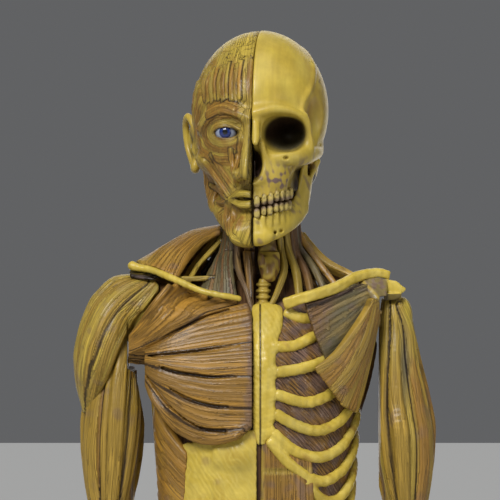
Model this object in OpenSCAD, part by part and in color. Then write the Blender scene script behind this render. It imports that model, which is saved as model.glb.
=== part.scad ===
// Standing anatomical figure on a turned plinth: superficial muscles on its right half, skull
// and deep muscles on its left half. The head turns on a neck pin, the left half of the jaw
// opens, and both arms swing on shoulder pins.
// Millimetres, +Z up, the figure faces -Y, its right side is -X, the plinth stands on z = 0.

/* [Figure] */
// Height of the figure from its soles to the top of its head
figure_h = 600; // [600:10:660]

/* [Plinth] */
// Diameter of the plinth
plinth_d = 190; // [190:1:240]
// Height of the plinth's deck above the table
deck_z = 20; // [18:1:30]
// Height of the rubber pads that stand out below the plinth
pad_h = 3; // [2:0.5:5]
// Diameter of each rubber pad
pad_d = 18; // [12:1:24]

/* [Hardware] */
// Diameter of the two shoulder pins
shoulder_pin_d = 5; // [4:0.5:6]
// Diameter of the neck pin
neck_pin_d = 6; // [4:0.5:7]
// Diameter of the jaw pin
jaw_pin_d = 2.4; // [2:0.1:2.6]
// Radial running clearance between a pin and its bush
running_gap = 0.05; // [0.03:0.01:0.1]

/* [Hidden] */
MODEL_H = 600;                       // figure height that the stations below are written for
MODEL_DECK = 20;                     // deck height that they are written for
GROWTH = figure_h / MODEL_H;         // the figure's size against the stations
WAIST_Z = 352;                       // the pelvis and the trunk part here
KNEE_Z = 182;                        // the thigh and the shank part here
ANKLE_Z = 43;                        // the shank and the foot part here
ELBOW_Z = 393;                       // the upper arm and the forearm part here
WRIST_Z = 306;                       // the forearm and the hand part here
SIDES = 8;                           // sides of a lofted belly
MIDLINE = 0.5;                       // halves of the body stay this far from the midline
FIT = 0.1;                           // radial room in a faceted piece round a pin, a block or a ring
BUSH_FIT = 0.15;                     // radial room in a faceted piece round a bush
FACE_GAP = 0.3;                      // gap between an arm's face and its block
CUT = 700;                           // size of a cutting block, larger than the figure
SHOULDER_R = [-63, 2, 495];          // centre of the right shoulder pin
SHOULDER_L = [63, 2, 490];           // centre of the left shoulder pin
BLOCK_IN = 30;                       // inner end of a shoulder block, from the midline
BLOCK_OUT = 44;                      // face of a shoulder block that the arm turns against
BLOCK_D = 22;                        // diameter of a shoulder block
BUSH_OUT = 60;                       // outer end of a shoulder bush
BUSH_WALL = 1.5;
BODY_X = 50.2;                       // the torso stays within this of the midline beside the arms
ARM_X = 51;                          // the arms stay outside this
FAN_X = 57.6;                        // the right pectoral reaches this far, close to the hub
FAN_R = 29;                          // and stays within this radius of the shoulder's axis there
HUB_R = 15.2;                        // radius of the right arm's hub
SOCKET_R = 16;                       // radius that the torso leaves for it
HEAD_R = 9.4;                        // radius of the bare left arm's ball
CUP_R = 10.4;                        // radius that the torso leaves for it
SPLIT_L = [54, 54.5];                // torso and arm part between these on the bare left side
NECK = [2, 8];                       // centre of the neck pin, in x and y
HEAD_YAW = -6;                       // the head looks a little to its right at rest
NECK_R = 18.4;                       // radius of the neck where the head turns round it
NECK_CUP_R = 19.2;                   // radius of the head's socket round the neck
CHIN_Z = 520.5;                      // the neck is round above this height
NECK_TOP = 549;                      // top of the neck column
PIN_PLATE = 4;                       // thickness of the neck pin's plate
HEAD_FLOOR = NECK_TOP + PIN_PLATE + 0.4; // underside of the head's core, above the plate
NECK_PIN_FOOT = 15;                  // depth of the neck pin below its plate
PIN_TOP = 575;                       // top of the neck pin
NAPE_Z = 546;                        // the head's shell ends here behind the neck
TRAPEZIUS_TOP = 528;                 // the right trapezius ends here, below the head's side
WINDPIPE = [1, -14];                 // centre of the windpipe, in x and y
WINDPIPE_R = 4.8;                    // radius of its rings
JAW = [22, 3, 561];                  // centre of the left condyle, in the head's own frame
JAW_WALL = 0.9;                      // wall of the jaw's bush
JAW_PIN_X = [15, 26];                // ends of the jaw pin
JAW_BUSH_X = [19.8, 25.2];           // ends of the jaw's bush
SEAM = 0.4;                          // half the gap between the two halves of the head
PAD_INSET = 20;                      // the pads' centres are this far inside the plinth's edge
SCREW_D = 3;                         // diameter of a foot screw
SCREW_HEAD = [6, 2];                 // diameter and height of its head
SCREW_ROOM = 0.4;                    // added to a diameter for a screw's hole
BONE = "#d9b84a";
TENDON = "#cfae45";
MUSCLE = "#9a6a24";
DEEP = "#7a5230";
STEEL = "#8f8f8f";
BRASS = "#b59a52";

// ---- lofting ----
function unit(v) = v / norm(v);
function point(s) = [s[0], s[1], s[2]];
function heading(st, i) = unit(point(st[min(i + 1, len(st) - 1)]) - point(st[max(i - 1, 0)]));
function ring(s, t, side, n) = let (a = unit(side - (side * t) * t), b = cross(t, a))
    [for (i = [0:n - 1]) point(s) + a * s[3] * cos(360 * i / n) + b * s[4] * sin(360 * i / n)];
function tip(s, t) = point(s) + t * min(s[3], s[4]) * 0.5;

// A belly through the stations st, [x, y, z, half width, half depth] each. side is the way its width runs.
module belly(st, side = [1, 0, 0], n = SIDES) {
    last = len(st) - 1;
    points = concat([for (i = [0:last]) each ring(st[i], heading(st, i), side, n)],
        [tip(st[0], -heading(st, 0)), tip(st[last], heading(st, last))]);
    first_tip = (last + 1) * n;
    faces = concat(
        [for (i = [0:last - 1], j = [0:n - 1]) let (k = (j + 1) % n)
            each [[i * n + j, (i + 1) * n + j, i * n + k],
                [i * n + k, (i + 1) * n + j, (i + 1) * n + k]]],
        [for (j = [0:n - 1]) [first_tip, j, (j + 1) % n]],
        [for (j = [0:n - 1]) [first_tip + 1, last * n + (j + 1) % n, last * n + j]]);
    polyhedron(points, faces);
}
module blob(at, radii, fn = 14) translate(at) scale(radii) sphere(1, $fn = fn);

// ---- placing and cutting ----
// From the frame of the stations to the part's frame
module figure() translate([0, 0, deck_z]) scale(GROWTH) translate([0, 0, -MODEL_DECK]) children();
// One mesh, at its own size
module cast() figure() resize([0, 0, 0]) union() children();
// From the head's own frame, which has its midline on x = 0, to the figure's
module turned()
    translate([NECK[0], NECK[1], 0]) rotate([0, 0, HEAD_YAW]) translate([0, -NECK[1], 0]) children();
module below(z) translate([-CUT / 2, -CUT / 2, z - CUT]) cube(CUT);
module above(z) translate([-CUT / 2, -CUT / 2, z]) cube(CUT);
module right_of(x) translate([x - CUT, -CUT / 2, 0]) cube(CUT);
module left_of(x) translate([x, -CUT / 2, 0]) cube(CUT);
module drum(centre, r, x0, x1, fn = 32)
    translate([x0, centre[1], centre[2]]) rotate([0, 90, 0]) cylinder(r = r, h = x1 - x0, $fn = fn);
module neck_drum(r, z0, z1, fn = 32)
    translate([NECK[0], NECK[1], z0]) cylinder(r = r, h = z1 - z0, $fn = fn);
// Room that the torso leaves for the arms
module arm_room() {
    drum(SHOULDER_R, SOCKET_R, -CUT / 2, -BLOCK_OUT);
    difference() {
        right_of(-BODY_X);
        drum(SHOULDER_R, FAN_R, -FAN_X, 0);
        above(SHOULDER_R[2] + SOCKET_R);
    }
    drum(SHOULDER_L, CUP_R, BLOCK_OUT, CUT / 2, 24);
    difference() {
        left_of(SPLIT_L[0]);
        above(SHOULDER_L[2] + CUP_R);
    }
    drum(SHOULDER_R, BLOCK_D / 2 + FIT, -BLOCK_OUT - 1, -BLOCK_IN, 24);
    drum(SHOULDER_L, BLOCK_D / 2 + FIT, BLOCK_IN, BLOCK_OUT + 1, 24);
}
module shoulder_pin_room() drum(SHOULDER_L, shoulder_pin_d / 2 + FIT, 0, BLOCK_IN + 1, 20);
// Room that a right arm's piece leaves for the torso
module torso_room() {
    left_of(-BLOCK_OUT - FACE_GAP);
    difference() {
        union() {
            left_of(-ARM_X);
            drum(SHOULDER_R, FAN_R + 0.7, -FAN_X - 0.8, 0);
        }
        drum(SHOULDER_R, HUB_R, -CUT / 2, 0);
    }
    drum(SHOULDER_R, shoulder_pin_d / 2 + BUSH_WALL + BUSH_FIT, -BUSH_OUT, 0, 20);
}

// ---- forms, in the figure's frame ----
module core_form() belly([[0, 2, 346, 43, 27], [0, 0, 372, 37, 25], [0, 0, 400, 37, 27],
    [0, 1, 428, 40, 31],
    [0, 2, 455, 42, 33], [0, 3, 480, 41, 31], [0, 8, 498, 36, 21], [0, 10, 508, 20, 14]], n = 14);
// The chest wall between the ribs, just outside the core
module chest_wall() translate([0, 2, 440]) scale([1.035, 1.045, 1]) translate([0, -2, -440]) core_form();
module pelvis_form() belly([[0, 6, 300, 22, 17], [0, 5, 315, 42, 24], [0, 4, 335, 46, 27],
    [0, 2, 352, 42, 26],
    [0, 2, 362, 38, 24]], n = 12);
module neck_form() belly([[0, 9, 498, 26, 18], [1, 8, 512, 18.5, 16.5], [1, 8, 528, 16.4, 16.4],
    [1, 8, 552, 16.4, 16.4]], n = 12);
module sternum_form() belly([[0, -17, 495, 10, 4], [0, -23, 484, 9, 4], [0, -29, 466, 7, 4],
    [0, -32, 448, 7, 4],
    [0, -33, 439, 4, 3]]);
module clavicle_form(side) belly([[side * 6, -18, 499, 4, 3.6], [side * 20, -20, 503, 2.8, 2.6],
    [side * 36, -12, 510, 2.6, 2.4], [side * 50, -6, 514, 3, 2.4], [side * 57, -3, 514, 3.6, 2.4]],
        [0, 1, 0], n = 6);
module bare_clavicle_form() belly([[7, -18, 499, 4.6, 4.4], [16, -20, 501, 3.4, 3.2],
    [32, -14, 505, 3, 3],
    [46, -6, 509, 3.2, 3], [56, 0, 509, 3.8, 3]], [0, 1, 0], n = 6);
module scapula_form() {
    belly([[40, 34, 505, 9, 2.5], [36, 39, 490, 14, 2.5], [32, 41, 470, 10, 2.5],
        [29, 38, 448, 3.5, 2]], n = 6);
    belly([[24, 43, 494, 2.5, 2], [40, 40, 499, 2.8, 2.2], [54, 26, 504, 3.4, 2.4],
        [62, 10, 505, 6, 2.4],
        [61, -2, 504, 4.5, 2]], [0, 1, 0], n = 6);
    belly([[44, 12, 500, 4, 4], [46, -4, 504, 4, 3.5], [49, -14, 503, 4, 4],
        [50, -17, 498, 3.2, 3]], n = 6);
}
function rib_point(front_z, droop, rise, a) =
    [41.5 * pow(sin(a), 0.85), 2 - 34 * cos(a), front_z - droop * sin(min(2 * a, 180))
        + rise * (1 - cos(a)) / 2];
module rib_form(i) {
    front_z = [492, 480, 468, 457, 449, 442, 437, 428, 416][i];
    droop = [-4, -3, 1, 5, 9, 12, 16, 15, 12][i];
    rise = [14, 22, 26, 29, 32, 34, 34, 32, 30][i];
    start = [14, 12, 12, 12, 12, 12, 14, 40, 62][i];
    belly([for (a = [start:(172 - start) / 9:172.1]) let (p = rib_point(front_z, droop, rise, a))
        [p[0], p[1], p[2], 3, 1.8]], [0, 0, 1], n = 6);
}
module ribs_form() for (i = [1:8]) rib_form(i);
module pectoral_form() {
    belly([[-8, -25, 489, 7, 4], [-24, -30, 486, 8, 5], [-42, -24, 482, 8, 6],
        [-58, -12, 476, 4, 5]], [0, 0, 1], n = 8);
    belly([[-3, -31, 474, 9, 4], [-20, -37, 470, 10, 5.5], [-40, -28, 470, 9, 7],
        [-58, -12, 474, 4, 5]], [0, 0, 1], n = 8);
    belly([[-3, -35, 456, 9, 4], [-20, -38, 453, 10, 5.5], [-38, -29, 460, 9, 7],
        [-56, -12, 472, 4, 5]], [0, 0, 1], n = 8);
    belly([[-8, -35, 442, 6, 3], [-22, -35, 440, 6, 5], [-38, -27, 450, 7, 6],
        [-54, -12, 470, 4, 4]], [0, 0, 1], n = 8);
    belly([[-20, -22, 500, 6, 5], [-34, -21, 495, 8, 7], [-48, -18, 487, 6, 6],
        [-56, -13, 480, 4, 4]], [0, 0, 1], n = 8);
    belly([[-36, -15, 505, 6, 4], [-46, -15, 495, 5, 5], [-56, -13, 482, 4, 4]], [0, 0, 1], n = 8);
}
module minor_form() {
    belly([[49, -20, 496, 3, 3], [43, -24, 484, 4.5, 3], [34, -31, 470, 6, 3]], n = 6);
    belly([[50, -19, 495, 3, 3], [47, -22, 480, 4.5, 3], [41, -27, 460, 6, 3]], n = 6);
}
module trapezius_form() {
    belly([[-10, 24, 530, 6, 4], [-20, 18, 516, 8, 5], [-38, 14, 510, 9, 5], [-52, 8, 513, 6, 3]],
        [0, 1, 0], n = 8);
    belly([[-7, 36, 512, 7, 4], [-14, 37, 490, 13, 5], [-10, 38, 455, 9, 4], [-4, 33, 425, 3, 3]],
        n = 8);
}
module latissimus_form() {
    belly([[-38, 14, 478, 7, 12], [-40, 12, 455, 6, 17], [-36, 13, 425, 5, 16], [-28, 19, 395, 7, 10],
        [-18, 24, 372, 8, 4]], n = 8);
    belly([[-30, 34, 450, 12, 5], [-20, 32, 420, 13, 4], [-14, 27, 385, 10, 4]], n = 8);
}
module scapular_muscles_form(side) {
    belly([[side * 24, 36, 484, 6, 4], [side * 36, 33, 482, 9, 6], [side * 47, 22, 484, 6, 6]],
        [0, 0, 1], n = 8);
    belly([[side * 27, 38, 462, 7, 5], [side * 38, 31, 468, 7, 7], [side * 47, 22, 476, 5, 6]],
        [0, 0, 1], n = 8);
}
module erector_form() belly([[6, 33, 505, 4, 5], [9, 36, 480, 6, 5], [10, 34, 440, 7, 6],
    [10, 27, 400, 8, 7],
    [9, 25, 370, 7, 6], [6, 24, 350, 4, 4]]);
module processes_form() for (z = [352:13:508]) {
    y = z > 430 ? 40 - abs(z - 470) * 0.12 : 30 + (z - 350) * 0.05;
    translate([0, y, z]) rotate([25, 0, 0]) cube([3.4, 11, 5], center = true);
}
module rectus_form(side) {
    belly([[side * 9, -33, 442, 9, 3], [side * 12, -32, 428, 11, 5],
        [side * 12, -29, 416, 10.5, 4.5]], n = 8);
    belly([[side * 12, -29, 416, 10.5, 5.5], [side * 11, -27, 402, 10, 4.5]], n = 8);
    belly([[side * 11, -27, 402, 10, 5.5], [side * 11, -26, 385, 9.5, 4.5]], n = 8);
    belly([[side * 11, -26, 385, 9.5, 5.5], [side * 10, -25, 360, 9, 5.5],
        [side * 6, -22, 330, 4, 4.5]], n = 8);
}
module oblique_form(side) {
    belly([[side * 38, -6, 442, 5, 13], [side * 36, -4, 420, 7, 18], [side * 34, -2, 395, 8, 18],
        [side * 36, 0, 370, 9, 19], [side * 41, 1, 350, 8, 18], [side * 44, 1, 338, 5, 14]], n = 8);
}
module gluteus_form(side) belly([[side * 26, 20, 352, 14, 8], [side * 30, 22, 335, 21, 15],
    [side * 30, 23, 312, 21, 17], [side * 28, 18, 292, 14, 11]], n = 10);
module thigh_form(side) belly([[side * 34, 0, 344, 14, 15], [side * 33, 1, 325, 23, 24],
    [side * 30, 1, 296, 26, 27],
    [side * 27, 0, 250, 23.5, 25], [side * 24, 1, 205, 19, 20], [side * 23, 2, 183, 18, 18.5]], n = 12);
module shank_form(side) belly([[side * 23, 2, 190, 17.8, 18.2], [side * 22, 6, 150, 18.5, 19],
    [side * 21.5, 8, 130, 17.5, 18.5], [side * 21, 6, 90, 12, 13], [side * 21, 6, 60, 9.5, 11],
    [side * 21, 6, 45, 11, 12.5]], n = 12);
module foot_form(side) {
    belly([[side * 21, 21, 28, 9, 9], [side * 21, 8, 33, 11, 14], [side * 22.5, -10, 31, 12, 13],
        [side * 25, -34, 25, 15, 8], [side * 26, -46, 24, 15, 6]], n = 8);
    for (i = [0:4]) {
        x = 26 + (i - 2) * 6.2;
        belly([[side * x, -42, 24, 3.4, 4],
            [side * (x + (i - 2) * 0.4), -62 + i * i * 0.9, 23.5, 2.8 + (i == 0 ? 1.6 : 0), 3.6]],
            n = 6);
    }
}
module hub_form() drum(SHOULDER_R, HUB_R, -BUSH_OUT - 6, -BLOCK_OUT - FACE_GAP);
module deltoid_form() {
    belly([[-52, -6, 502, 8, 6], [-62, -12, 491, 9, 7], [-71, -9, 470, 6.5, 7],
        [-76, -2, 450, 2.5, 3]], n = 8);
    belly([[-66, 2, 507, 8, 10], [-73, 2, 492, 9, 12], [-76, 1, 470, 6, 9], [-76, 0, 450, 2.5, 3]],
        n = 8);
    belly([[-54, 12, 502, 8, 6], [-65, 17, 490, 9, 7], [-73, 12, 470, 6.5, 7],
        [-76, 2, 450, 2.5, 3]], n = 8);
    hub_form();
}
module upper_arm_form() belly([[-65, 2, 486, 11, 13], [-65, 2, 468, 12.5, 14.5],
    [-64, 1, 442, 12.5, 14.5],
    [-66, 1, 415, 12, 13], [-67, 1, 392, 12.5, 12.5]], n = 12);
module bare_arm_form() belly([[61.5, 2, 486, 6.5, 8], [61, 2, 474, 6.5, 9.5], [63.5, 1.5, 460, 9, 12],
    [66, 1, 446, 12, 14], [66, 1, 422, 12, 14], [66.5, 1, 405, 11.5, 12.5],
        [67, 1, 392, 12.5, 12.5]], n = 10);
module forearm_form(side) belly([[side * 67, 1, 394, 12.5, 12.5], [side * 70, 0, 376, 14.5, 14],
    [side * 72, -1, 356, 13, 13], [side * 75, -3, 326, 8.5, 10], [side * 76, -4, 306, 6.5, 9.5]],
        n = 12);
module hand_form(side) {
    belly([[side * 76, -4, 308, 6, 9], [side * 76.5, -5, 296, 7, 12], [side * 77, -5, 278, 6, 14],
        [side * 77, -5, 271, 5.5, 13]], n = 8);
    for (i = [0:3]) {
        y = -15 + i * 6.6;
        belly([[side * 77, y, 276, 3.4, 3.2], [side * 76.5, y + 0.3, 258 - i % 3, 3, 3],
            [side * 74, y + 0.5, 245 + abs(i - 1.3) * 3, 2.6, 2.6]], n = 6);
    }
    belly([[side * 74, -14, 298, 4, 4.5], [side * 71.5, -20, 284, 3.6, 4],
        [side * 70.5, -22, 268, 3, 3]], n = 6);
}

// ---- forms, in the head's own frame ----
module cranium_form() blob([0, 3, 584], [30.5, 41.5, 36], 20);
module orbit_form(side) blob([side * 12.5, -34, 573], [9.5, 14, 8], 12);
module eye_form(grow = 0) blob([-12.2, -29.5, 573], [5.4 + grow, 5.4 + grow, 5.4 + grow], 14);
module face_form(side) {
    belly([[side * 12, -24, 578, 15, 14], [side * 10, -26, 562, 14, 12], [side * 9, -26, 550, 10, 11],
        [side * 8, -27, 544, 9, 10]], n = 8);
    belly([[side * 12, -30, 563, 5, 4], [side * 22, -22, 564, 4, 4.5], [side * 27.5, -8, 567, 2.5, 4.5],
        [side * 27, 4, 566, 2.5, 3.5]], [0, 1, 0], n = 8);
    belly([[side * 2, -38, 574, 2, 3], [side * 2, -43, 560, 2.5, 3], [side * 3, -42, 553, 3.5, 4]],
        n = 6);
}
module head_room() {
    translate([-NECK[0], 0, 0]) neck_drum(NECK_CUP_R, 400, HEAD_FLOOR);
    translate([-NECK[0], 0, 0]) neck_drum(neck_pin_d / 2 + running_gap + BUSH_WALL + FIT, 500, PIN_TOP + 1, 20);
}
module jaw_form(side) {
    belly([[side * 22.5, 3, 560, 2.6, 5], [side * 23, 4, 548, 2.4, 8], [side * 22, 1, 540, 3, 8],
        [side * 18, -12, 533, 3.4, 6.5], [side * 11, -26, 530, 3.6, 6.5], [side * 1, -32, 530, 3.6, 7]],
        [side, -0.4, 0], n = 8);
}
function arch(a, grow) = [(15 + grow) * sin(a), -16 - (19 + grow) * cos(a)];
module teeth_form(z0, z1, grow) for (i = [0:6]) {
    p = arch(6 + i * 12.5, grow);
    translate([p[0], p[1], z0]) rotate([0, 0, 6 + i * 12.5]) linear_extrude(z1 - z0)
        offset(r = 0.8) square([2.1, 2.4], center = true);
}
module ear_form() belly([[-28, 6, 577, 2, 5], [-31, 7, 573, 2.2, 6.5], [-31, 7, 565, 2.2, 6],
    [-29, 5, 556, 2, 3.5]],
    [0, 1, 0], n = 8);

// ---- plinth ----
module plinth_ring(n, r, turn = 0) for (i = [0:n - 1]) rotate([0, 0, turn + 360 * i / n])
    translate([r, 0, 0]) children();
module screw_places(size = GROWTH) for (side = [-1, 1], at = [[24, -26], [21, 8]])
    translate([side * at[0] * size, at[1] * size, 0]) children();
module plinth_pad(h) plinth_ring(4, plinth_d / 2 - PAD_INSET, 45) cylinder(d = pad_d, h = h, $fn = 48);
module plinth() color("#2b1d14") difference() {
    rotate_extrude($fn = 120) polygon([[0, pad_h], [plinth_d / 2 - 2, pad_h], [plinth_d / 2, pad_h + 2],
        [plinth_d / 2, deck_z - 10], [plinth_d / 2 - 3, deck_z - 8], [plinth_d / 2 - 3, deck_z - 6],
        [plinth_d / 2 - 5, deck_z - 3], [plinth_d / 2 - 9, deck_z], [0, deck_z]]);
    plinth_pad(pad_h + 2);
    screw_places() cylinder(d = SCREW_D + SCREW_ROOM, h = deck_z + 1, $fn = 32);
    screw_places() cylinder(d = SCREW_HEAD[0] + SCREW_ROOM, h = pad_h + 4, $fn = 32);
}
module plinth_pads() color("#222222") plinth_pad(pad_h + 2);
module foot_screws() color(STEEL) screw_places() {
    translate([0, 0, pad_h + 2]) cylinder(d = SCREW_HEAD[0], h = SCREW_HEAD[1], $fn = 32);
    translate([0, 0, pad_h + 4]) cylinder(d = SCREW_D, h = deck_z + 8 - pad_h - 4, $fn = 32);
}
// The screws' holes in the feet, in the frame of the stations
module screw_room() screw_places(1) translate([0, 0, MODEL_DECK - 1])
    cylinder(d = SCREW_D + SCREW_ROOM, h = 10, $fn = 12);

// ---- trunk ----
module torso_core() color(DEEP) cast() difference() {
    core_form();
    windpipe(WINDPIPE_R + FIT, 490, 510);
    below(WAIST_Z);
    arm_room();
}
module pelvis() color(DEEP) cast() difference() {
    pelvis_form();
    above(WAIST_Z);
}
module sternum() color(BONE) cast() difference() {
    sternum_form();
    core_form();
}
module clavicle_right() color(BONE) cast() difference() {
    clavicle_form(-1);
    sternum_form();
    core_form();
    arm_room();
}
module clavicle_left() color(BONE) cast() difference() {
    bare_clavicle_form();
    sternum_form();
    core_form();
    arm_room();
}
module ribs_left() color(BONE) cast() difference() {
    ribs_form();
    core_form();
    sternum_form();
    arm_room();
    shoulder_pin_room();
    right_of(MIDLINE);
}
module intercostals_left() color(DEEP) cast() difference() {
    intersection() {
        chest_wall();
        left_of(6);
        above(424);
        below(488);
    }
    core_form();
    sternum_form();
    ribs_form();
    erector_form();
    arm_room();
}
module scapula_left() color(BONE) cast() difference() {
    scapula_form();
    core_form();
    ribs_form();
    bare_clavicle_form();
    arm_room();
}
module shoulder_blocks() color("#5a4630") figure() {
    difference() {
        drum(SHOULDER_R, BLOCK_D / 2, -BLOCK_OUT, -BLOCK_IN, 64);
        drum(SHOULDER_R, shoulder_pin_d / 2, -BLOCK_OUT - 1, -BLOCK_IN + 1, 64);
    }
    difference() {
        drum(SHOULDER_L, BLOCK_D / 2, BLOCK_IN, BLOCK_OUT, 64);
        drum(SHOULDER_L, shoulder_pin_d / 2, BLOCK_IN - 1, BLOCK_OUT + 1, 64);
    }
}
module spine_processes() color(BONE) cast() difference() {
    processes_form();
    core_form();
    pelvis_form();
    erector_form();
}
module erector_spinae_left() color(DEEP) cast() difference() {
    erector_form();
    core_form();
    pelvis_form();
    ribs_form();
    scapula_form();
}
module scapular_muscles_left() color(MUSCLE) cast() difference() {
    scapular_muscles_form(1);
    core_form();
    ribs_form();
    scapula_form();
    arm_room();
}
module scapular_muscles_right() color(MUSCLE) cast() difference() {
    scapular_muscles_form(-1);
    core_form();
    trapezius_form();
    latissimus_form();
    arm_room();
}
module latissimus_right() color(MUSCLE) cast() difference() {
    latissimus_form();
    core_form();
    trapezius_form();
    arm_room();
}
module trapezius_right() color(MUSCLE) cast() difference() {
    trapezius_form();
    core_form();
    neck_form();
    processes_form();
    clavicle_form(-1);
    arm_room();
    above(TRAPEZIUS_TOP);
}
module pectoralis_major_right() color(MUSCLE) cast() difference() {
    pectoral_form();
    core_form();
    sternum_form();
    clavicle_form(-1);
    arm_room();
    left_of(-MIDLINE);
}
module pectoralis_minor_left() color(MUSCLE) cast() difference() {
    minor_form();
    core_form();
    ribs_form();
    scapula_form();
    chest_wall();
    arm_room();
}
module rectus_sheath_right() color(TENDON) cast() difference() {
    rectus_form(-1);
    core_form();
    pelvis_form();
    sternum_form();
    pectoral_form();
    left_of(-MIDLINE);
}
module rectus_abdominis_left() color(MUSCLE) cast() difference() {
    rectus_form(1);
    core_form();
    pelvis_form();
    sternum_form();
    ribs_form();
    chest_wall();
    right_of(MIDLINE);
}
module oblique_right() color(MUSCLE) cast() difference() {
    oblique_form(-1);
    core_form();
    pelvis_form();
    rectus_form(-1);
    pectoral_form();
    latissimus_form();
}
module oblique_left() color(DEEP) cast() difference() {
    oblique_form(1);
    core_form();
    pelvis_form();
    rectus_form(1);
    ribs_form();
    chest_wall();
}

// ---- legs ----
module gluteus_cut(side) difference() {
    gluteus_form(side);
    core_form();
    pelvis_form();
    oblique_form(side);
    erector_form();
    latissimus_form();
    if (side < 0) left_of(-MIDLINE);
    if (side > 0) right_of(MIDLINE);
}
module gluteus_right() color(MUSCLE) cast() gluteus_cut(-1);
module gluteus_left() color(DEEP) cast() gluteus_cut(1);
module thigh_cut(side) difference() {
    thigh_form(side);
    pelvis_form();
    oblique_form(side);
    rectus_form(side);
    gluteus_form(side);
    below(KNEE_Z);
    patella_form(side);
    if (side < 0) left_of(-MIDLINE);
    if (side > 0) right_of(MIDLINE);
}
module thigh_right() color(MUSCLE) cast() thigh_cut(-1);
module thigh_left() color(DEEP) cast() thigh_cut(1);
module patella_form(side) blob([side * 23.5, -16, 190], [8, 5, 9], 12);
module patellae() color(BONE) cast() {
    patella_form(-1);
    patella_form(1);
}
module shank_cut(side) difference() {
    shank_form(side);
    above(KNEE_Z);
    patella_form(side);
    below(ANKLE_Z);
}
module shank_right() color(MUSCLE) cast() shank_cut(-1);
module shank_left() color(DEEP) cast() shank_cut(1);
module foot_cut(side) difference() {
    foot_form(side);
    above(ANKLE_Z);
    below(MODEL_DECK);
    screw_room();
}
module foot_right() color(MUSCLE) cast() foot_cut(-1);
module foot_left() color(BONE) cast() foot_cut(1);

// ---- neck ----
module sternomastoid_form() belly([[-16.2, 10, 549, 3.6, 1.6], [-15.6, 3, 534, 4.4, 1.7],
    [-12.4, -5.5, 518, 4.6, 2.6], [-6.5, -13.5, 504, 4, 2.8], [-3.5, -16, 497, 2.6, 2]],
        [1, -1, 0], n = 8);
module scalenes_form() {
    belly([[15, 2, 540, 3, 1.5], [17, 1, 526, 3.4, 2.4], [24, 1, 508, 3.6, 3]], [0, 1, 0], n = 6);
    belly([[16, 12, 542, 4, 1.5], [18.5, 12, 526, 4.5, 2.4], [29, 11, 511, 5, 3.4]], [0, 1, 0], n = 6);
    belly([[10, 24, 540, 4, 1.5], [15, 25, 522, 5, 3], [29, 22, 507, 6, 4]], [0, 1, 0], n = 6);
}
module neck_column() color(DEEP) cast() difference() {
    neck_form();
    windpipe(WINDPIPE_R + FIT, 480, 506);
    core_form();
    clavicle_form(-1);
    bare_clavicle_form();
    sternum_form();
    above(NECK_TOP);
    neck_drum(neck_pin_d / 2 + FIT, NECK_TOP - NECK_PIN_FOOT - 1, NECK_TOP + 1, 20);
}
module round_neck() difference() {
    above(CHIN_Z);
    neck_drum(NECK_R, 400, 600);
}
module sternomastoid_right() color(MUSCLE) cast() difference() {
    sternomastoid_form();
    neck_form();
    core_form();
    sternum_form();
    clavicle_form(-1);
    round_neck();
    above(NECK_TOP);
}
module scalenes_left() color(MUSCLE) cast() difference() {
    scalenes_form();
    neck_form();
    core_form();
    bare_clavicle_form();
    scapula_form();
    processes_form();
    round_neck();
    above(NECK_TOP);
}
module windpipe(r, z0, z1) translate([WINDPIPE[0], WINDPIPE[1],
    z0]) cylinder(r = r, h = z1 - z0, $fn = 12);
module throat_cut() {
    neck_form();
    core_form();
    sternum_form();
    sternomastoid_form();
    bare_clavicle_form();
}
module larynx() color(BONE) cast() difference() {
    belly([[1, -8, 520, 7, 5], [1, -11, 516, 8, 6.5], [1, -12, 509, 6.5, 6],
        [1, -12, 505.5, 5, 5]], n = 10);
    throat_cut();
    above(CHIN_Z);
    below(506);
}
module trachea() color(BONE) cast() difference() {
    for (z = [494.8:2.6:502.6]) windpipe(WINDPIPE_R, z, z + 1.5);
    windpipe(WINDPIPE_R - 0.8, 493, 505.9);
    sternum_form();
    sternomastoid_form();
    bare_clavicle_form();
}
module neck_pin() color(STEEL) figure() {
    neck_drum(10, NECK_TOP, NECK_TOP + PIN_PLATE, 64);
    neck_drum(neck_pin_d / 2, NECK_TOP - NECK_PIN_FOOT, PIN_TOP, 64);
}
module neck_bush() color(BRASS) figure() difference() {
    neck_drum(neck_pin_d / 2 + running_gap + BUSH_WALL, HEAD_FLOOR, PIN_TOP + 1, 64);
    neck_drum(neck_pin_d / 2 + running_gap, 500, PIN_TOP + 2, 64);
}

// ---- head ----
module jaw_drum(r, x0, x1, fn = 32) drum(JAW, r, x0, x1, fn);
module skull_half_left() color(BONE) cast() turned() difference() {
    union() {
        cranium_form();
        face_form(1);
        jaw_drum(3.4, 15, 18.8, 16);
    }
    orbit_form(1);
    blob([3, -44, 557], [4.5, 9, 7], 12);
    head_room();
    jaw_drum(jaw_pin_d / 2 + running_gap, 10, 30, 16);
    jaw_drum(5, 19.4, 40, 16);
    blob([25, 2, 558], [6.4, 11, 6.5], 12);
    blob([26, -8, 577], [4, 12, 9], 12);
    teeth_form(539, 545, 0);
    right_of(SEAM);
    below(541);
    nape_cut();
}
module nape_cut() translate([-CUT / 2, 12, 0]) cube([CUT, CUT, NAPE_Z]);
module muscle_head_right() color(MUSCLE) cast() turned() difference() {
    union() {
        cranium_form();
        face_form(-1);
        jaw_form(-1);
        belly([[-16, -24, 566, 12, 8], [-20, -14, 552, 8, 12], [-17, -14, 540, 7, 12],
            [-10, -24, 533, 7, 9],
            [-3, -29, 528, 4, 6]], n = 8);
        belly([[-5, -34, 549, 7, 4], [-5, -34, 541, 6, 4], [-4, -33, 534, 5, 4]], n = 8);
    }
    eye_form(0.1);
    blob([-12.2, -36, 573], [6.2, 7, 2.8], 12);
    ear_form();
    head_room();
    left_of(-SEAM);
    below(522.5);
    nape_cut();
}
module ear_right() color(TENDON) cast() turned() ear_form();
module glass_eye_right() color("#cfd8dc") cast() turned() eye_form();
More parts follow.
